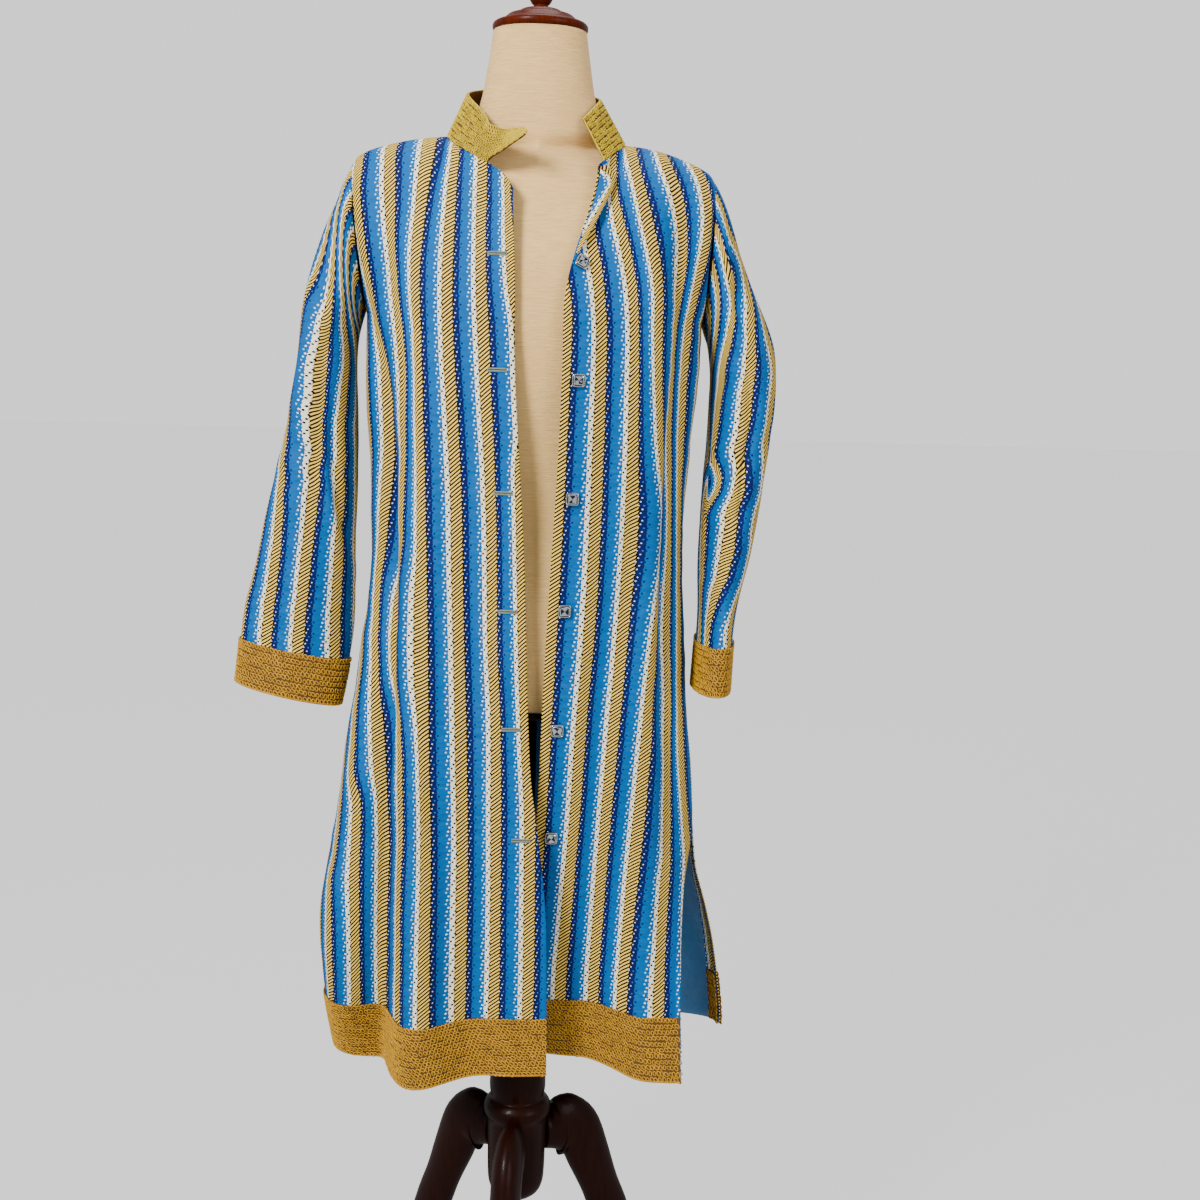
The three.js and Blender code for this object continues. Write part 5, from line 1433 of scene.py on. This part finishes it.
for number, z in enumerate(buttonhole["heights"], 1):
    half, count = buttonhole["half"], buttonhole["points"]
    at, basis = placeOn("front_right", buttonhole["inset"] + half, z)
    lips = []
    along = np.linspace(-half, half, count)
    for side in (-1, 1):
        bow = 0.25 * np.sin(along * 1.3 + number + side)
        path = np.stack([along, side * buttonhole["spread"] + 0.15 * bow, np.full(count, 0.45)], -1)
        radii = buttonhole["lip"] * np.clip(1.15 - (np.abs(along) / 9.9) ** 8, 0.25, 1)
        lips.append(rodArrays(path, radii, 8))
    for end in (-9.3, 9.3):
        path = np.stack([np.full(8, end), np.linspace(-1.9, 1.9, 8), np.full(8, 0.5)], -1)
        lips.append(rodArrays(path, 0.55, 8, up=(1, 0, 0)))
    points, faces = joined(lips)
    lip = meshObject(f"buttonhole_{number}_lips", at + points @ basis, faces, [pipedCloth])
    settle(lip, "pipe", f"buttonhole_{number}")
    # Painted shade: a near black rod lies in the slot between the lips
    slotPath = np.stack([np.linspace(-9, 9, 10), np.zeros(10), np.full(10, 0.15)], -1)
    points, faces = rodArrays(slotPath, 0.5, 6)
    gap = meshObject(f"buttonhole_{number}_slot", at + points @ basis, faces, [slotShade])
    settle(gap, "pipe")
print("buttons and buttonholes")

# Dress form
sides = 96
heights = np.concatenate([
    np.linspace(800.8, 1335, 110), np.linspace(1335, 1412, 60)[1:],
    np.linspace(1412, 1504, 24)[1:]])
levels = tableAt(formLevels, heights)
turn = np.linspace(0, 2 * math.pi, sides, endpoint=False)
rings = []
for z, (half, front, back, square) in zip(heights, levels):
    power = 2 / square
    depth = np.where(np.cos(turn) < 0, back, front)
    rings.append(np.stack([
        half * np.sign(np.sin(turn)) * np.abs(np.sin(turn)) ** power,
        depth * np.abs(np.cos(turn)) ** power, np.full(sides, z)], -1))
form = np.stack(rings)
points = form.reshape(-1, 3)
faces = turnOut(points, gridFaces(len(form), sides, True))
points, faces = capped(points, faces, sides)
torso = meshObject("form_torso_linen", points, faces, [linen])
settle(torso, "linen", "form_torso")

# Stand
for name, profile in turned.items():
    material = {"neck_cap": capWood, "finial": capWood, "pole": poleMaterial}.get(name, darkWood)
    obj = lathe(f"{name}_turned", profile, material, cuts=0 if name == "pole" else 2)
    settle(obj, "pole" if name == "pole" else "wood", name)
legSides = 28
for name, degrees in legAngles.items():
    angle = math.radians(degrees)
    out = np.array([math.cos(angle), math.sin(angle), 0])
    side = np.array([-out[1], out[0], 0])
    keys = np.linspace(0, 1, len(legPath))
    fine = tableAt(np.column_stack([keys, legPath]), np.linspace(0, 1, 64))
    centre = fine[:, :2]
    slope = unit(np.gradient(centre, axis=0))
    slope[0] = [1, 0]
    turn = np.linspace(0, 2 * math.pi, legSides, endpoint=False)
    along = centre[:, :1] - slope[:, 1:] * fine[:, 3:4] * np.sin(turn)
    height = centre[:, 1:] + slope[:, :1] * fine[:, 3:4] * np.sin(turn)
    wide = fine[:, 2:3] * np.cos(turn)
    rings = along[..., None] * out + wide[..., None] * side
    rings[..., 2] = np.maximum(height, 0)
    points = rings.reshape(-1, 3)
    faces = turnOut(points, gridFaces(len(rings), legSides, True))
    points, faces = capped(points, faces, legSides)
    settle(meshObject(f"{name}_carved", points, faces, [darkWood]), "wood", name)
print("form and stand")

# Camera, floor and light
cameraPlace = {
    "distance": 1710, "height": 1152.5, "yaw": 2.624, "pitch": 8.0, "roll": 1.607, "lens": 47.52}
yaw, pitch, roll = (math.radians(cameraPlace[k]) for k in ("yaw", "pitch", "roll"))
forward = Vector((
    math.sin(yaw) * math.cos(pitch), math.cos(yaw) * math.cos(pitch), -math.sin(pitch)))
level = Vector((math.cos(yaw), -math.sin(yaw), 0))
upright = level.cross(forward)
across = level * math.cos(roll) + upright * math.sin(roll)
above = -level * math.sin(roll) + upright * math.cos(roll)
cameraData = bpy.data.cameras.new("camera")
cameraData.lens = cameraPlace["lens"]
cameraData.sensor_width = 36
camera = bpy.data.objects.new("camera", cameraData)
camera.matrix_world = Matrix((across, above, -forward)).transposed().to_4x4()
camera.location = Vector((axis[0], axis[1] - cameraPlace["distance"], cameraPlace["height"])) / 1000
bpy.context.scene.collection.objects.link(camera)
bpy.context.scene.camera = camera

lightPlan = {
    "background": 1.2, "surround": 0.62, "floorSeen": 1.03, "floorGlow": 0.4, "floorColour": "#707070"}
floorMaterial = plainMaterial(
    "pale grey floor", lightPlan["floorColour"], Roughness=1.0, Specular_IOR_Level=0.0,
    Emission_Color=(1, 1, 1, 1))
mesh = bpy.data.meshes.new("floor")
mesh.from_pydata([(-30, -30, 0), (30, -30, 0), (30, 30, 0), (-30, 30, 0)], [], [(0, 1, 2, 3)])
mesh.materials.append(floorMaterial)
floor = bpy.data.objects.new("floor", mesh)
bpy.context.scene.collection.objects.link(floor)


# What the camera sees of the backdrop is brighter than the light it gives the coat
def seenOrGiven(tree, seen, given):
    ray = addNode(tree, "ShaderNodeLightPath").outputs["Is Camera Ray"]
    return maths(tree, "ADD", given, maths(tree, "MULTIPLY", ray, seen - given))


tree = floorMaterial.node_tree
tree.links.new(
    seenOrGiven(tree, lightPlan["floorSeen"], lightPlan["floorGlow"]),
    tree.nodes["Principled BSDF"].inputs["Emission Strength"])
world = bpy.data.worlds.new("studio")
bpy.context.scene.world = world
world.use_nodes = True
tree = world.node_tree
tree.links.new(
    seenOrGiven(tree, lightPlan["background"], lightPlan["surround"]),
    tree.nodes["Background"].inputs["Strength"])
tree.nodes["Background"].inputs["Color"].default_value = (1, 1, 1, 1)


def softLight(name, place, target, size, power, colour="#FFFFFF"):
    data = bpy.data.lights.new(name, "AREA")
    data.shape = "DISK"
    data.size = size
    data.energy = power
    data.color = linear(colour)[:3]
    light = bpy.data.objects.new(name, data)
    light.location = place
    light.rotation_euler = (Vector(target) - Vector(place)).to_track_quat("-Z", "Y").to_euler()
    bpy.context.scene.collection.objects.link(light)


# Name, place and target in m, disk width in m, power in W
for light in (
        ("key", (-1.7, -2.4, 2.7), (0, 0, 1.0), 1.0, 165),
        ("fill", (2.0, -2.0, 1.4), (0, 0, 0.9), 1.6, 28),
        ("top", (0.2, 0.5, 3.4), (0, 0, 1.0), 1.4, 30)):
    softLight(*light)
